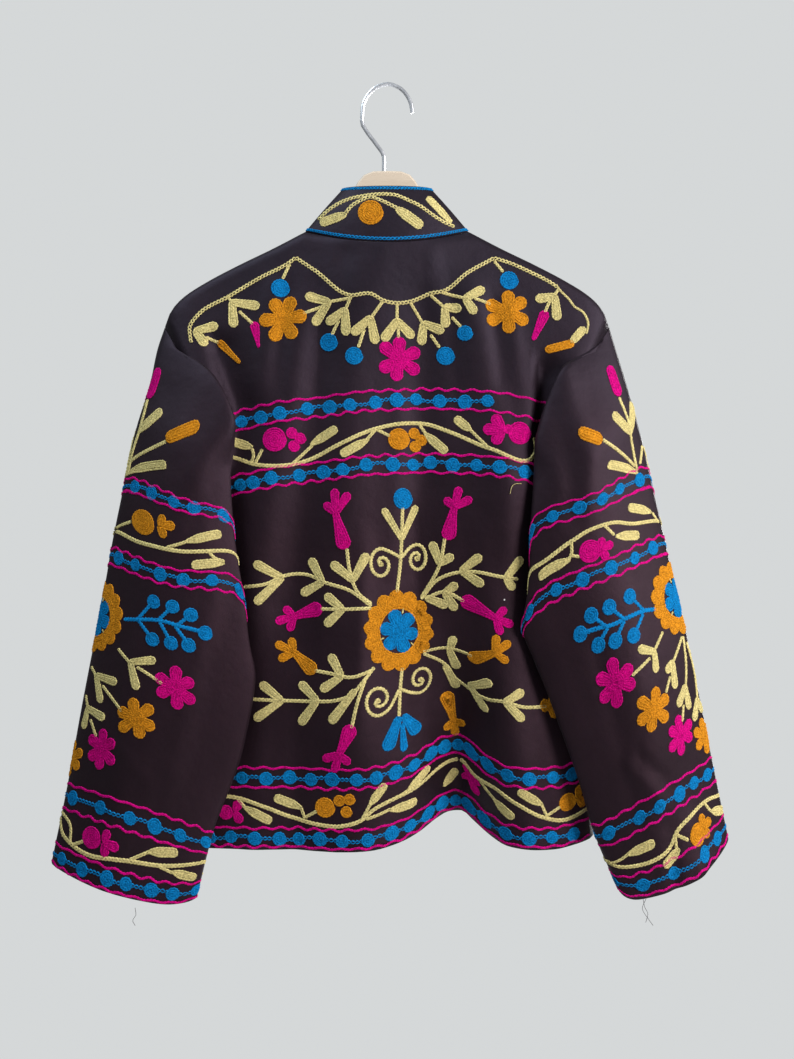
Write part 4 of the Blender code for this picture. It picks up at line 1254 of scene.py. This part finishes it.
# The pattern on the sleeves, as (round, along). What lies on the line over the arm is made once,
# and the rest on both sides of it. A band's lines are given over the arm and opposite it, and its
# beads by their places round. Fruits have a centre, a radius, a stretch, lobes and a colour, and
# flowers a centre, a radius, a turn in degrees and a colour.
SLEEVES = {
    "sleeve_left": {
        "bands": [
            [(155, 154), (169, 161)], [(230, 216), (246, 234)], [(466, 466), (490, 490)],
            [(526, 526), (545, 545)],
        ],
        "beads": [
            [17, 41, 69, 90, 120, 147, 174, 201], [15, 40, 71, 95, 122, 152, 185],
            [15, 53, 85, 110, 136, 163], [17, 45, 74, 93, 118, 139, 162],
        ],
        "bud_stems": [[(5, 75), (8, 102), (3, 131), (2, 152)], [(47, 106), (22, 125), (3, 138)]],
        "buds": [[(6, 74), (9, 43), "magenta"], [(46, 104), (75, 83), "orange"]],
        "bud_leaves": [[(8, 108), (28, 84)], [(3, 150), (52, 128)]],
        "vines": [
            [
                (2, 213), (34, 214), (59, 210), (81, 206), (98, 203), (122, 198), (146, 190), (170, 182),
                (200, 180),
            ],
            [
                (0, 500), (11, 514), (25, 519), (49, 522), (75, 518), (93, 515), (120, 512), (143, 507),
                (166, 500),
            ],
        ],
        "vine_stems": [
            [(2, 209), (22, 198)], [(72, 206), (92, 193)], [(112, 200), (120, 206), (130, 207)],
        ],
        "vine_leaves": [[(90, 194), (120, 181)], [(129, 209), (101, 216)], [(178, 186), (164, 172)]],
        "fruits": [
            [(38, 193), 16.5, 0.74, [(60, 183), (70, 185), (64, 194)], "orange"],
            [(49, 506), 12.0, 0.86, [(65, 500), (74, 507), (66, 513)], "magenta"],
        ],
        "rosette": (0, 297),
        "sprig": [(40, 291), (55, 287), (81, 280), (103, 280), (124, 280)],
        "twigs": [
            [(56, 287), (70, 263)], [(78, 281), (90, 262)], [(98, 280), (109, 266)],
            [(108, 280), (126, 280)], [(58, 287), (77, 301)], [(80, 281), (96, 299)],
            [(96, 281), (113, 296)],
        ],
        "pairs": [
            [(59, 330), (84, 321), (71, 355)], [(17, 353), (46, 354), (30, 378)],
            [(13, 387), (39, 392), (12, 408)],
        ],
        "drops": [
            [(40, 321), (59, 331)], [(67, 333), (95, 342)], [(6, 346), (17, 354)], [(28, 361), (59, 380)],
            [(6, 375), (13, 387)], [(20, 397), (32, 412)],
        ],
        "flowers": [
            [(108, 342), 21, 20, "magenta"], [(75, 383), 20.5, 10, "orange"],
            [(42, 423), 20, 85, "magenta"],
        ],
        "edge_flower": [(0, 440), 18, 30, "orange"],
        "cuff_stems": [
            [(1, 494), (19, 503), (24, 519)], [(92, 514), (109, 502)], [(118, 512), (135, 516)],
            [(28, 519), (40, 512)],
        ],
        "cuff_leaves": [[(109, 502), (135, 496)], [(135, 515), (157, 519)]],
    },
    "sleeve_right": {
        "bands": [
            [(149, 152), (170, 169)], [(221, 219), (239, 236)], [(440, 440), (464, 464)],
            [(503, 503), (526, 526)],
        ],
        "beads": [
            [17, 46, 69, 93, 120, 147, 174, 201, 225], [21, 48, 77, 107, 134, 169],
            [14, 34, 54, 79, 101, 135, 155], [22, 45, 82, 114, 144],
        ],
        "bud_stems": [
            [(19, 75), (18, 98), (19, 114), (18, 150)], [(58, 98), (38, 122), (20, 145)],
            [(2, 127), (12, 145)],
        ],
        "buds": [[(18, 74), (18, 44), "magenta"], [(59, 98), (78, 82), "orange"]],
        "bud_leaves": [[(19, 111), (34, 86)], [(18, 111), (2, 84)], [(19, 152), (56, 126)]],
        "vines": [
            [(2, 206), (39, 199), (65, 188), (88, 186), (107, 191), (141, 198), (168, 188), (200, 196)],
            [(2, 480), (22, 475), (44, 477), (66, 483), (77, 492), (100, 496), (121, 493), (150, 484)],
        ],
        "vine_stems": [
            [(73, 187), (65, 201)], [(108, 192), (111, 203), (115, 207)], [(111, 204), (104, 208)],
            [(10, 196), (4, 206)],
        ],
        "vine_leaves": [[(63, 203), (36, 212)], [(114, 207), (147, 208)], [(12, 195), (39, 182)]],
        "fruits": [
            [(93, 206), 11.8, 1.0, [(80, 203), (74, 208), (80, 215)], "magenta"],
            [(46, 496), 10.8, 1.0, [(35, 488), (29, 494), (34, 501)], "orange"],
        ],
        "rosette": (4, 282),
        "sprig": [(39, 283), (55, 279), (73, 278), (91, 278), (107, 275), (123, 274)],
        "twigs": [
            [(54, 279), (66, 261)], [(78, 278), (89, 262)], [(97, 277), (108, 262)],
            [(107, 275), (123, 273)], [(56, 281), (73, 295)], [(78, 279), (92, 292)],
            [(95, 278), (109, 289)],
        ],
        "pairs": [
            [(54, 318), (72, 308), (58, 336)], [(34, 335), (45, 341), (38, 359)],
            [(24, 362), (39, 376), (24, 384)], [(9, 380), (20, 397), (3, 394)],
        ],
        "drops": [
            [(37, 305), (55, 318)], [(61, 321), (84, 328)], [(12, 318), (32, 335)],
            [(41, 346), (51, 358)], [(10, 318), (15, 343), (23, 364)], [(31, 377), (37, 391)],
            [(6, 325), (3, 356), (8, 380)],
        ],
        "flowers": [
            [(101, 327), 21, 25, "magenta"], [(69, 366), 20, 10, "orange"],
            [(42, 402), 18, 85, "magenta"],
        ],
        "edge_flower": [(8, 416), 17, 30, "orange"],
        "cuff_stems": [
            [(138, 486), (120, 480)], [(69, 486), (72, 497)], [(67, 486), (58, 495)],
            [(26, 476), (20, 487), (6, 494)],
        ],
        "cuff_leaves": [[(120, 480), (93, 481)], [(70, 498), (88, 505)], [(19, 488), (2, 497)]],
    },
}
SLEEVE_STEMS = [
    ("bud_stems", CENTRE_STEM), ("vine_stems", FINE_STEM), ("drops", FINE_STEM),
    ("cuff_stems", FINE_STEM), ("vines", VINE_WIDTH),
]
SLEEVE_LINE_STEP = 9.0
SLEEVE_ROSETTE_SIZE = (76, 69)
SLEEVE_LEAF = 9.8
SLEEVE_LONG_LEAF = 10.2
SLEEVE_LOBE = 5.2
BUD_WIDTHS = (12.2, 11.4)
BERRY_RADIUS = 7.8
# Width and link of single rows
SPRIG_STITCH = (5.4, 3.6)
TWIG_STITCH = (5.0, 3.4)


def both_sides(*points):
    """The points, and their mirror on the other side of the line over the arm."""
    yield list(points)
    yield [(-u, v) for u, v in points]


def pattern_on_sleeve(cloth, girth_at):
    """The sleeve's bands, buds, vine, rosette, flowers and cuff."""
    plan = SLEEVES[cloth]
    for k, (lines, arcs) in enumerate(zip(plan["bands"], plan["beads"])):
        girth = float(girth_at(lines[0][0]))

        def along(line, place):
            """Length along the sleeve of a line, given over the arm and opposite it."""
            return line[0] + (line[1] - line[0]) * (1 - math.cos(2 * math.pi * place / girth)) / 2

        places = np.append(np.arange(0, girth, SLEEVE_LINE_STEP), girth)
        for j, line in enumerate(lines):
            wave(cloth, [(u, along(line, u)) for u in places], 0.8 * k + 1.9 * j)
        near = [u for u in arcs if u < girth / 2 - BEAD_SPARE]
        arcs = sorted([-u for u in near] + near + arcs[len(near):len(near) + 1])
        row = [(u, sum(along(line, u) for line in lines) / 2 + 0.8 * math.sin(2 * u)) for u in arcs]
        bead_row(cloth, row + [(row[0][0] + girth, row[0][1])], k)
    for key, width in SLEEVE_STEMS:
        for points in plan[key]:
            for side in both_sides(*points):
                stem(cloth, side, width)
    for base, tip, colour in plan["buds"]:
        for side in both_sides(base, tip):
            fill(cloth, colour, *side, *BUD_WIDTHS)
    for key in ("bud_leaves", "vine_leaves", "cuff_leaves"):
        for points in plan[key]:
            for side in both_sides(*points):
                long_leaf(cloth, *side, SLEEVE_LONG_LEAF)
    for points in plan["pairs"]:
        for side in both_sides(*points):
            leaves(cloth, side[0], side[1:], SLEEVE_LEAF)
    for centre, radius, stretch, lobes, colour in plan["fruits"]:
        for side in both_sides(centre, *lobes):
            fruit(cloth, colour, side[0], radius, side[1:], SLEEVE_LOBE, stretch)
    for centre, radius, turn, colour in plan["flowers"]:
        for side in both_sides(centre):
            blossom(cloth, colour, side[0], radius, turn)
    centre, radius, turn, colour = plan["edge_flower"]
    blossom(cloth, colour, centre, radius, turn)
    rosette(cloth, plan["rosette"], *SLEEVE_ROSETTE_SIZE)
    for side in both_sides(*plan["sprig"]):
        chain(cloth, "blue", smooth_path(side), *SPRIG_STITCH)
    for points in plan["twigs"]:
        for side in both_sides(*points):
            chain(cloth, "blue", smooth_path(side), *TWIG_STITCH)
            disc(cloth, "blue", side[-1], BERRY_RADIUS)


# The collar's pattern, as (across, depth)
COLLAR_STEMS = [
    [
        (-68, 136), (-61, 129), (-52, 123), (-39, 117.5), (-25, 115), (-2, 113.5), (9, 114.5), (20, 119),
        (33, 125), (44, 132.5), (55, 139), (67, 143.5),
    ],
    [(-41, 132), (-34.5, 124.5), (-26, 119.5), (-17, 116.5), (-6, 120), (5, 125.5), (10, 128)],
]
COLLAR_LEAVES = [
    [(-40, 133), (-66, 140), 10.6], [(9, 128), (34.5, 146), 11.4], [(64, 140), (40, 115), 8.4],
]
COLLAR_ROUND = [(-15.8, 132), 13.2]
# The same at the front, as (distance round the seam, distance down from the top)
COLLAR_FRONT_STEM = [(170, 30), (184, 36), (200, 33), (216, 24), (234, 22)]
COLLAR_FRONT_LEAVES = [[(184, 35), (196, 18)], [(214, 25), (236, 40)]]
COLLAR_STEM = 4.8
COLLAR_FRONT_WIDTH = 4.6
COLLAR_FRONT_LEAF = (6.5, 9)
# Width and link of the rows along the top edge and the seam
TOP_STITCH = (4.2, 6.4)
SEAM_STITCH = (4.0, 4.2)


def pattern_on_collar(rim):
    """The back's vine, a short one on each side of the front, and a row along both edges."""
    for points in COLLAR_STEMS:
        stem("collar", points, COLLAR_STEM, HOLLOW)
    for base, tip, width in COLLAR_LEAVES:
        fill("collar", "yellow", base, tip, width * 0.7, width, pod)
    disc("collar", "orange", *COLLAR_ROUND)
    for way in (-1, 1):
        stem("collar_rim", [(way * u, v) for u, v in COLLAR_FRONT_STEM], COLLAR_FRONT_WIDTH)
        for points in COLLAR_FRONT_LEAVES:
            base, tip = ((way * u, v) for u, v in points)
            fill("collar_rim", "yellow", base, tip, *COLLAR_FRONT_LEAF, pod)
    reach = NECK_HALF * rim["angles"][-1] - 2
    places = np.linspace(-reach, reach, 121)
    heights = np.interp(places / NECK_HALF, rim["angles"], rim["heights"])
    for down, stitch in ((np.full_like(places, 2.4), TOP_STITCH), (heights - 3.0, SEAM_STITCH)):
        chain("collar_rim", "blue", np.stack([places, down], axis=1), *stitch, HOLLOW)


THREAD_COLOURS = {
    "yellow": (0.480, 0.405, 0.165),
    "blue": (0.001, 0.137, 0.335),
    "magenta": (0.425, 0.0005, 0.137),
    "orange": (0.450, 0.175, 0.008),
}
CLOTH_COLOUR = (0.0030, 0.0015, 0.0024)
CLOTH_WARM = (0.0064, 0.0030, 0.0046)
LINT_COLOUR = (0.45, 0.44, 0.42)
# Painted light in the cloth's sheen: its tint is bluer over the second height and redder below the first,
# in metres, standing in for bluer light from above and warmer light lower down
PAINTED_TINT_LOW, PAINTED_LOW_LIGHT_TINT = -0.46, (1.0, 0.58, 0.75)
PAINTED_TINT_HIGH, PAINTED_HIGH_LIGHT_TINT = -0.20, (0.86, 0.73, 1.0)
WOOD_COLOURS = (0.36, 0.285, 0.205), (0.50, 0.415, 0.315)
WIRE_COLOURS = (0.52, 0.53, 0.55), (0.70, 0.71, 0.73)
WIRE_ROUGHNESS = 0.28, 0.40
# Shader inputs that are the same all over
THREAD_LOOKS = {"Roughness": 0.78, "Specular IOR Level": 0.06}
CLOTH_LOOKS = {
    "Roughness": 0.58, "Specular IOR Level": 0.22, "Sheen Weight": 0.01, "Sheen Roughness": 0.5,
}
WOOD_LOOKS = {"Roughness": 0.48}
WIRE_LOOKS = {"Metallic": 0.86}
FLOOR_LOOKS = {"Base Color": (0.68, 0.69, 0.70, 1), "Roughness": 0.9}
# The pale surroundings as the camera sees them, and as they light the object
ROOM_COLOUR = (0.665, 0.685, 0.690, 1)
ROOM_LIGHT = (0.665, 0.680, 0.690, 1)
ROOM_STRENGTH = 0.31


def set_inputs(tree, node, values):
    """Sets a node's inputs, or links them where the value is another node's output."""
    for name, value in values.items():
        if isinstance(value, bpy.types.NodeSocket):
            tree.links.new(value, node.inputs[name])
        else:
            node.inputs[name].default_value = value


def add(tree, kind, values, **settings):
    """A node with its settings and inputs."""
    node = tree.nodes.new("ShaderNode" + kind)
    for name, value in settings.items():
        setattr(node, name, value)
    set_inputs(tree, node, values)
    return node


def noise(tree, place, scale, detail, roughness=0.5, distortion=0.0, output="Fac"):
    values = {"Vector": place, "Scale": scale, "Detail": detail, "Roughness": roughness}
    return add(tree, "TexNoise", {**values, "Distortion": distortion}).outputs[output]


def mapped(tree, place, **values):
    return add(tree, "Mapping", {"Vector": place, **values}).outputs["Vector"]


def spread(tree, value, low, high, to_low=0.0, to_high=1.0):
    """The value, so that low becomes to_low and high becomes to_high."""
    values = {"Value": value, "From Min": low, "From Max": high, "To Min": to_low, "To Max": to_high}
    return add(tree, "MapRange", values).outputs["Result"]


def mixed(tree, factor, low, high, blend="MIX"):
    """A colour between two, by a factor. Each is a colour or another node's output."""
    low, high = ((*c, 1) if isinstance(c, tuple) else c for c in (low, high))
    values = {0: factor, 6: low, 7: high}
    return add(tree, "Mix", values, data_type="RGBA", blend_type=blend).outputs[2]


def computed(tree, operation, one, other):
    return add(tree, "Math", {0: one, 1: other}, operation=operation).outputs[0]


def bump(tree, height, strength, distance, **below):
    """The surface's direction with small bumps, over those below."""
    values = {"Height": height, "Strength": strength, "Distance": distance, **below}
    return add(tree, "Bump", values).outputs["Normal"]


def scaled(colour, amount):
    return tuple(min(1, c * amount) for c in colour)


def new_material(name, values, looks=None):
    """A material with these shader inputs, and those that looks makes from the place."""
    made = bpy.data.materials.new(name)
    made.use_nodes = True
    tree = made.node_tree
    linked = looks(tree, add(tree, "TexCoord", {}).outputs) if looks else {}
    set_inputs(tree, tree.nodes["Principled BSDF"], {**values, **linked})
    return made


def thread_looks(colour):
    """Matt twisted cotton thread: lighter and darker links, and the twist of its strands."""

    def make(tree, place):
        spots = noise(tree, place["Object"], scale=640.0, detail=3.0, roughness=0.65)
        spots = spread(tree, spots, 0.32, 0.68)
        wave = {"Vector": place["UV"], "Scale": 1.6, "Distortion": 1.5, "Detail": 1.0}
        twist = add(tree, "TexWave", wave, bands_direction="DIAGONAL").outputs["Fac"]
        return {
            "Base Color": mixed(tree, spots, scaled(colour, 0.50), scaled(colour, 1.34)),
            "Normal": bump(tree, twist, strength=0.45, distance=0.0004),
        }

    return make


def cloth_looks(tree, place):
    """Dark aubergine cotton: a fine weave, slubs, a soft sheen whose tint is painted light, bluer high up
    and redder low down, and a few specks of lint.
    """
    place = place["Object"]
    clouds = spread(tree, noise(tree, place, scale=9.0, detail=4.0, roughness=0.6), 0.35, 0.7)
    base = mixed(tree, clouds, CLOTH_COLOUR, CLOTH_WARM)
    slubs = mapped(tree, place, Scale=(260, 260, 40))
    slubs = noise(tree, slubs, scale=3.0, detail=3.0, output="Color")
    lint = add(tree, "TexVoronoi", {"Vector": place, "Scale": 26.0}).outputs
    pick = add(tree, "SeparateColor", {"Color": lint["Color"]}).outputs["Red"]
    near = computed(tree, "LESS_THAN", lint["Distance"], 0.022)
    speck = computed(tree, "MULTIPLY", near, computed(tree, "GREATER_THAN", pick, 0.9))
    twill = mapped(tree, place, Rotation=(0, math.radians(38), 0))
    twill = add(tree, "TexWave", {"Vector": twill, "Scale": 480.0, "Distortion": 0.6, "Detail": 1.0})
    weave = bump(tree, twill.outputs["Fac"], strength=0.25, distance=0.0002)
    rumple = noise(tree, place, scale=55.0, detail=3.0, roughness=0.55)
    # Painted light: the sheen's tint changes with height, redder low down and bluer high up, as the
    # light's colour would
    rise = spread(tree, add(tree, "SeparateXYZ", {0: place}).outputs["Z"], PAINTED_TINT_LOW, PAINTED_TINT_HIGH)
    return {
        "Base Color": mixed(tree, speck, mixed(tree, 0.35, base, slubs, "OVERLAY"), LINT_COLOUR),
        "Normal": bump(tree, rumple, strength=0.35, distance=0.0022, Normal=weave),
        "Specular Tint": mixed(tree, rise, PAINTED_LOW_LIGHT_TINT, PAINTED_HIGH_LIGHT_TINT),
    }


def wood_looks(tree, place):
    """Pale wood with its grain along the bar."""
    along = mapped(tree, place["Object"], Scale=(14, 90, 90))
    grain = noise(tree, along, scale=3.2, detail=5.0, roughness=0.62, distortion=0.6)
    relief = bump(tree, grain, strength=0.2, distance=0.0004)
    return {"Base Color": mixed(tree, grain, *WOOD_COLOURS), "Normal": relief}


def chrome_looks(tree, place):
    """Slightly dull chrome wire."""
    dull = noise(tree, place["Object"], scale=160.0, detail=3.0)
    roughness = spread(tree, dull, 0.0, 1.0, *WIRE_ROUGHNESS)
    return {"Roughness": roughness, "Base Color": mixed(tree, dull, *WIRE_COLOURS)}


# Loose ends of thread at the cuffs, in millimetres
LOOSE_ENDS = {
    "loose_end_left_a": [(-241, -50, -806), (-240, -51, -812), (-243, -51, -818), (-241, -50, -823)],
    "loose_end_right_a": [(247, -44, -799), (248, -46, -806), (251, -47, -813), (249, -47, -821)],
    "loose_end_right_b": [(250, -44, -799), (246, -46, -808), (251, -47, -817), (256, -47, -824)],
}

# One on the back, as (across, depth, height over the cloth)
LOOSE_ON_BACK = [(131, 399, 0.8), (126, 399, 1.6), (121.5, 401.5, 1.8), (119.5, 409, 1.0)]
LOOSE_RADIUS = 0.22
LOOSE_RADIUS_ON_BACK = 0.25
TUBE_RINGS = 24
TUBE_SIDES = 5


def tube(name, points, radius, material):
    """A thin thread along a smooth path."""
    points = np.asarray(points, float)
    lengths = lengths_along(points)
    path = through(lengths, points, np.linspace(0, lengths[-1], TUBE_RINGS))
    heading = unit(np.gradient(path, axis=0))
    one = unit(np.cross(heading, [0, 1, 0.3]))
    other = np.cross(heading, one)
    turns = np.linspace(0, 2 * math.pi, TUBE_SIDES + 1)[:-1, None]
    ring = np.cos(turns) * one[:, None] + np.sin(turns) * other[:, None]
    rings = path[:, None] + radius * ring
    index = np.arange(rings[..., 0].size).reshape(rings.shape[:2])
    turned = np.roll(index, -1, axis=1)
    quads = np.stack([index[:-1], turned[:-1], turned[1:], index[1:]], axis=-1).reshape(-1, 4)
    made = new_object(name, rings.reshape(-1, 3), [quads, np.stack([index[0][::-1], index[-1]])])
    made.data.materials.append(material)
    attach(made, "root")


# Lights: name, place, what it is aimed at, width and height, power, colour, in metres and watts
LIGHTS = [
    ("window", (1.80, -1.65, 0.35), (0.1, 0, -0.45), (0.9, 1.1), 90, (1.0, 0.965, 0.985)),
    ("door", (2.30, -0.50, 0.25), (0.2, 0, -0.45), (0.8, 1.2), 32, (0.97, 0.975, 1.0)),
    ("room", (-0.9, -0.7, 1.15), (-0.10, 0, -0.30), (1.2, 1.2), 40, (0.78, 0.90, 1.0)),
    ("behind", (0.9, 1.9, -0.30), (0, 0, -0.45), (1.2, 1.2), 95, (1, 1, 1)),
]

# The camera, in metres: its distance from the hanger's plane is 1200 of the frame's 1059 rows
CAMERA_PLACE = (0.010, -1.200, -0.4435)
SENSOR = 36
FRAME_ROWS = 1059
FRAME_DISTANCE = 1200

FLOOR_SIZE = 1.6
FLOOR_HEIGHT = -1.75


def place_in_scene(name, data):
    made = bpy.data.objects.new(name, data)
    bpy.context.scene.collection.objects.link(made)
    return made


def area_light(name, place, aim, size, power, colour):
    light = bpy.data.lights.new(name, "AREA")
    light.shape = "RECTANGLE"
    light.size, light.size_y = size
    light.energy = power
    light.color = colour
    made = place_in_scene(name, light)
    made.location = place
    ahead = np.subtract(aim, place)
    yaw = math.atan2(ahead[0], -ahead[1])
    tilt = math.atan2(math.hypot(ahead[0], ahead[1]), -ahead[2])
    made.rotation_euler = (tilt, 0, math.pi + yaw)


def make_stage():
    """Pale floor, even pale surroundings, soft lights and the camera."""
    mesh = bpy.data.meshes.new("floor")
    corners = [(x, y, FLOOR_HEIGHT) for x, y in ((-1, -1), (1, -1), (1, 1), (-1, 1))]
    mesh.from_pydata([(x * FLOOR_SIZE, y * FLOOR_SIZE, z) for x, y, z in corners], [], [(0, 1, 2, 3)])
    floor = place_in_scene("floor", mesh)
    floor.data.materials.append(new_material("pale_floor", FLOOR_LOOKS))
    world = bpy.data.worlds.new("pale_room")
    world.use_nodes = True
    tree = world.node_tree
    seen = tree.nodes["Background"]
    set_inputs(tree, seen, {"Color": ROOM_COLOUR})
    lighting = add(tree, "Background", {"Color": ROOM_LIGHT, "Strength": ROOM_STRENGTH})
    is_seen = add(tree, "LightPath", {}).outputs["Is Camera Ray"]
    chosen = add(tree, "MixShader", {0: is_seen, 1: lighting.outputs[0], 2: seen.outputs[0]})
    set_inputs(tree, tree.nodes["World Output"], {0: chosen.outputs[0]})
    bpy.context.scene.world = world
    for row in LIGHTS:
        area_light(*row)
    camera = bpy.data.cameras.new("camera")
    camera.sensor_width = SENSOR
    camera.lens = SENSOR * FRAME_DISTANCE / FRAME_ROWS
    made = place_in_scene("camera", camera)
    made.location = CAMERA_PLACE
    made.rotation_euler = (math.pi / 2, 0, 0)
    bpy.context.scene.camera = made
    bpy.context.scene.view_settings.view_transform = "Standard"


# What each piece of cloth was cut to: width and length in metres, share of that rectangle
CUTS = {
    "back": (0.46, 0.63, 0.9),
    "front_left": (0.23, 0.63, 0.86),
    "front_right": (0.23, 0.63, 0.86),
    "sleeve_left": (0.55, 0.58, 0.55),
    "sleeve_right": (0.56, 0.56, 0.53),
    "collar": (0.42, 0.06, 0.85),
}


def main():
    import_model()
    make_stage()
    surfaces = make_surfaces()
    cotton = new_material("aubergine_cotton", CLOTH_LOOKS, cloth_looks)
    threads = {
        name: new_material("thread_" + name, THREAD_LOOKS, thread_looks(colour))
        for name, colour in THREAD_COLOURS.items()
    }
    pattern_on_body("back", -PATTERN_HALF, PATTERN_HALF)
    pattern_on_body("front_left", -PATTERN_HALF, -PATTERN_FRONT)
    pattern_on_body("front_right", PATTERN_FRONT, PATTERN_HALF)
    for name in ("sleeve_left", "sleeve_right"):
        pattern_on_sleeve(name, surfaces[name]["girth"])
    pattern_on_collar(surfaces["collar_rim"])
    stitched = build_stitches(surfaces, threads)
    for name, (width, length, share) in CUTS.items():
        piece = cloth_wall(surfaces[name], COLLAR_CLOTH if name == "collar" else CLOTH, name + "_cloth")
        piece.data.materials.append(cotton)
        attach(piece, "root")
        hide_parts(name)
    for name, points in LOOSE_ENDS.items():
        tube(name, points, LOOSE_RADIUS, cotton)
    points, _ = on_cloth(surfaces["back"], *np.array(LOOSE_ON_BACK, float).T)
    tube("loose_end_back", points, LOOSE_RADIUS_ON_BACK, threads["yellow"])
    wood = new_material("pale_wood", WOOD_LOOKS, wood_looks)
    wire = new_material("chrome_wire", WIRE_LOOKS, chrome_looks)
    for node, material in (("hanger_bar", wood), ("hanger_hook", wire)):
        solid = bpy.data.objects[node]
        solid.data.materials.clear()
        solid.data.materials.append(material)


main()
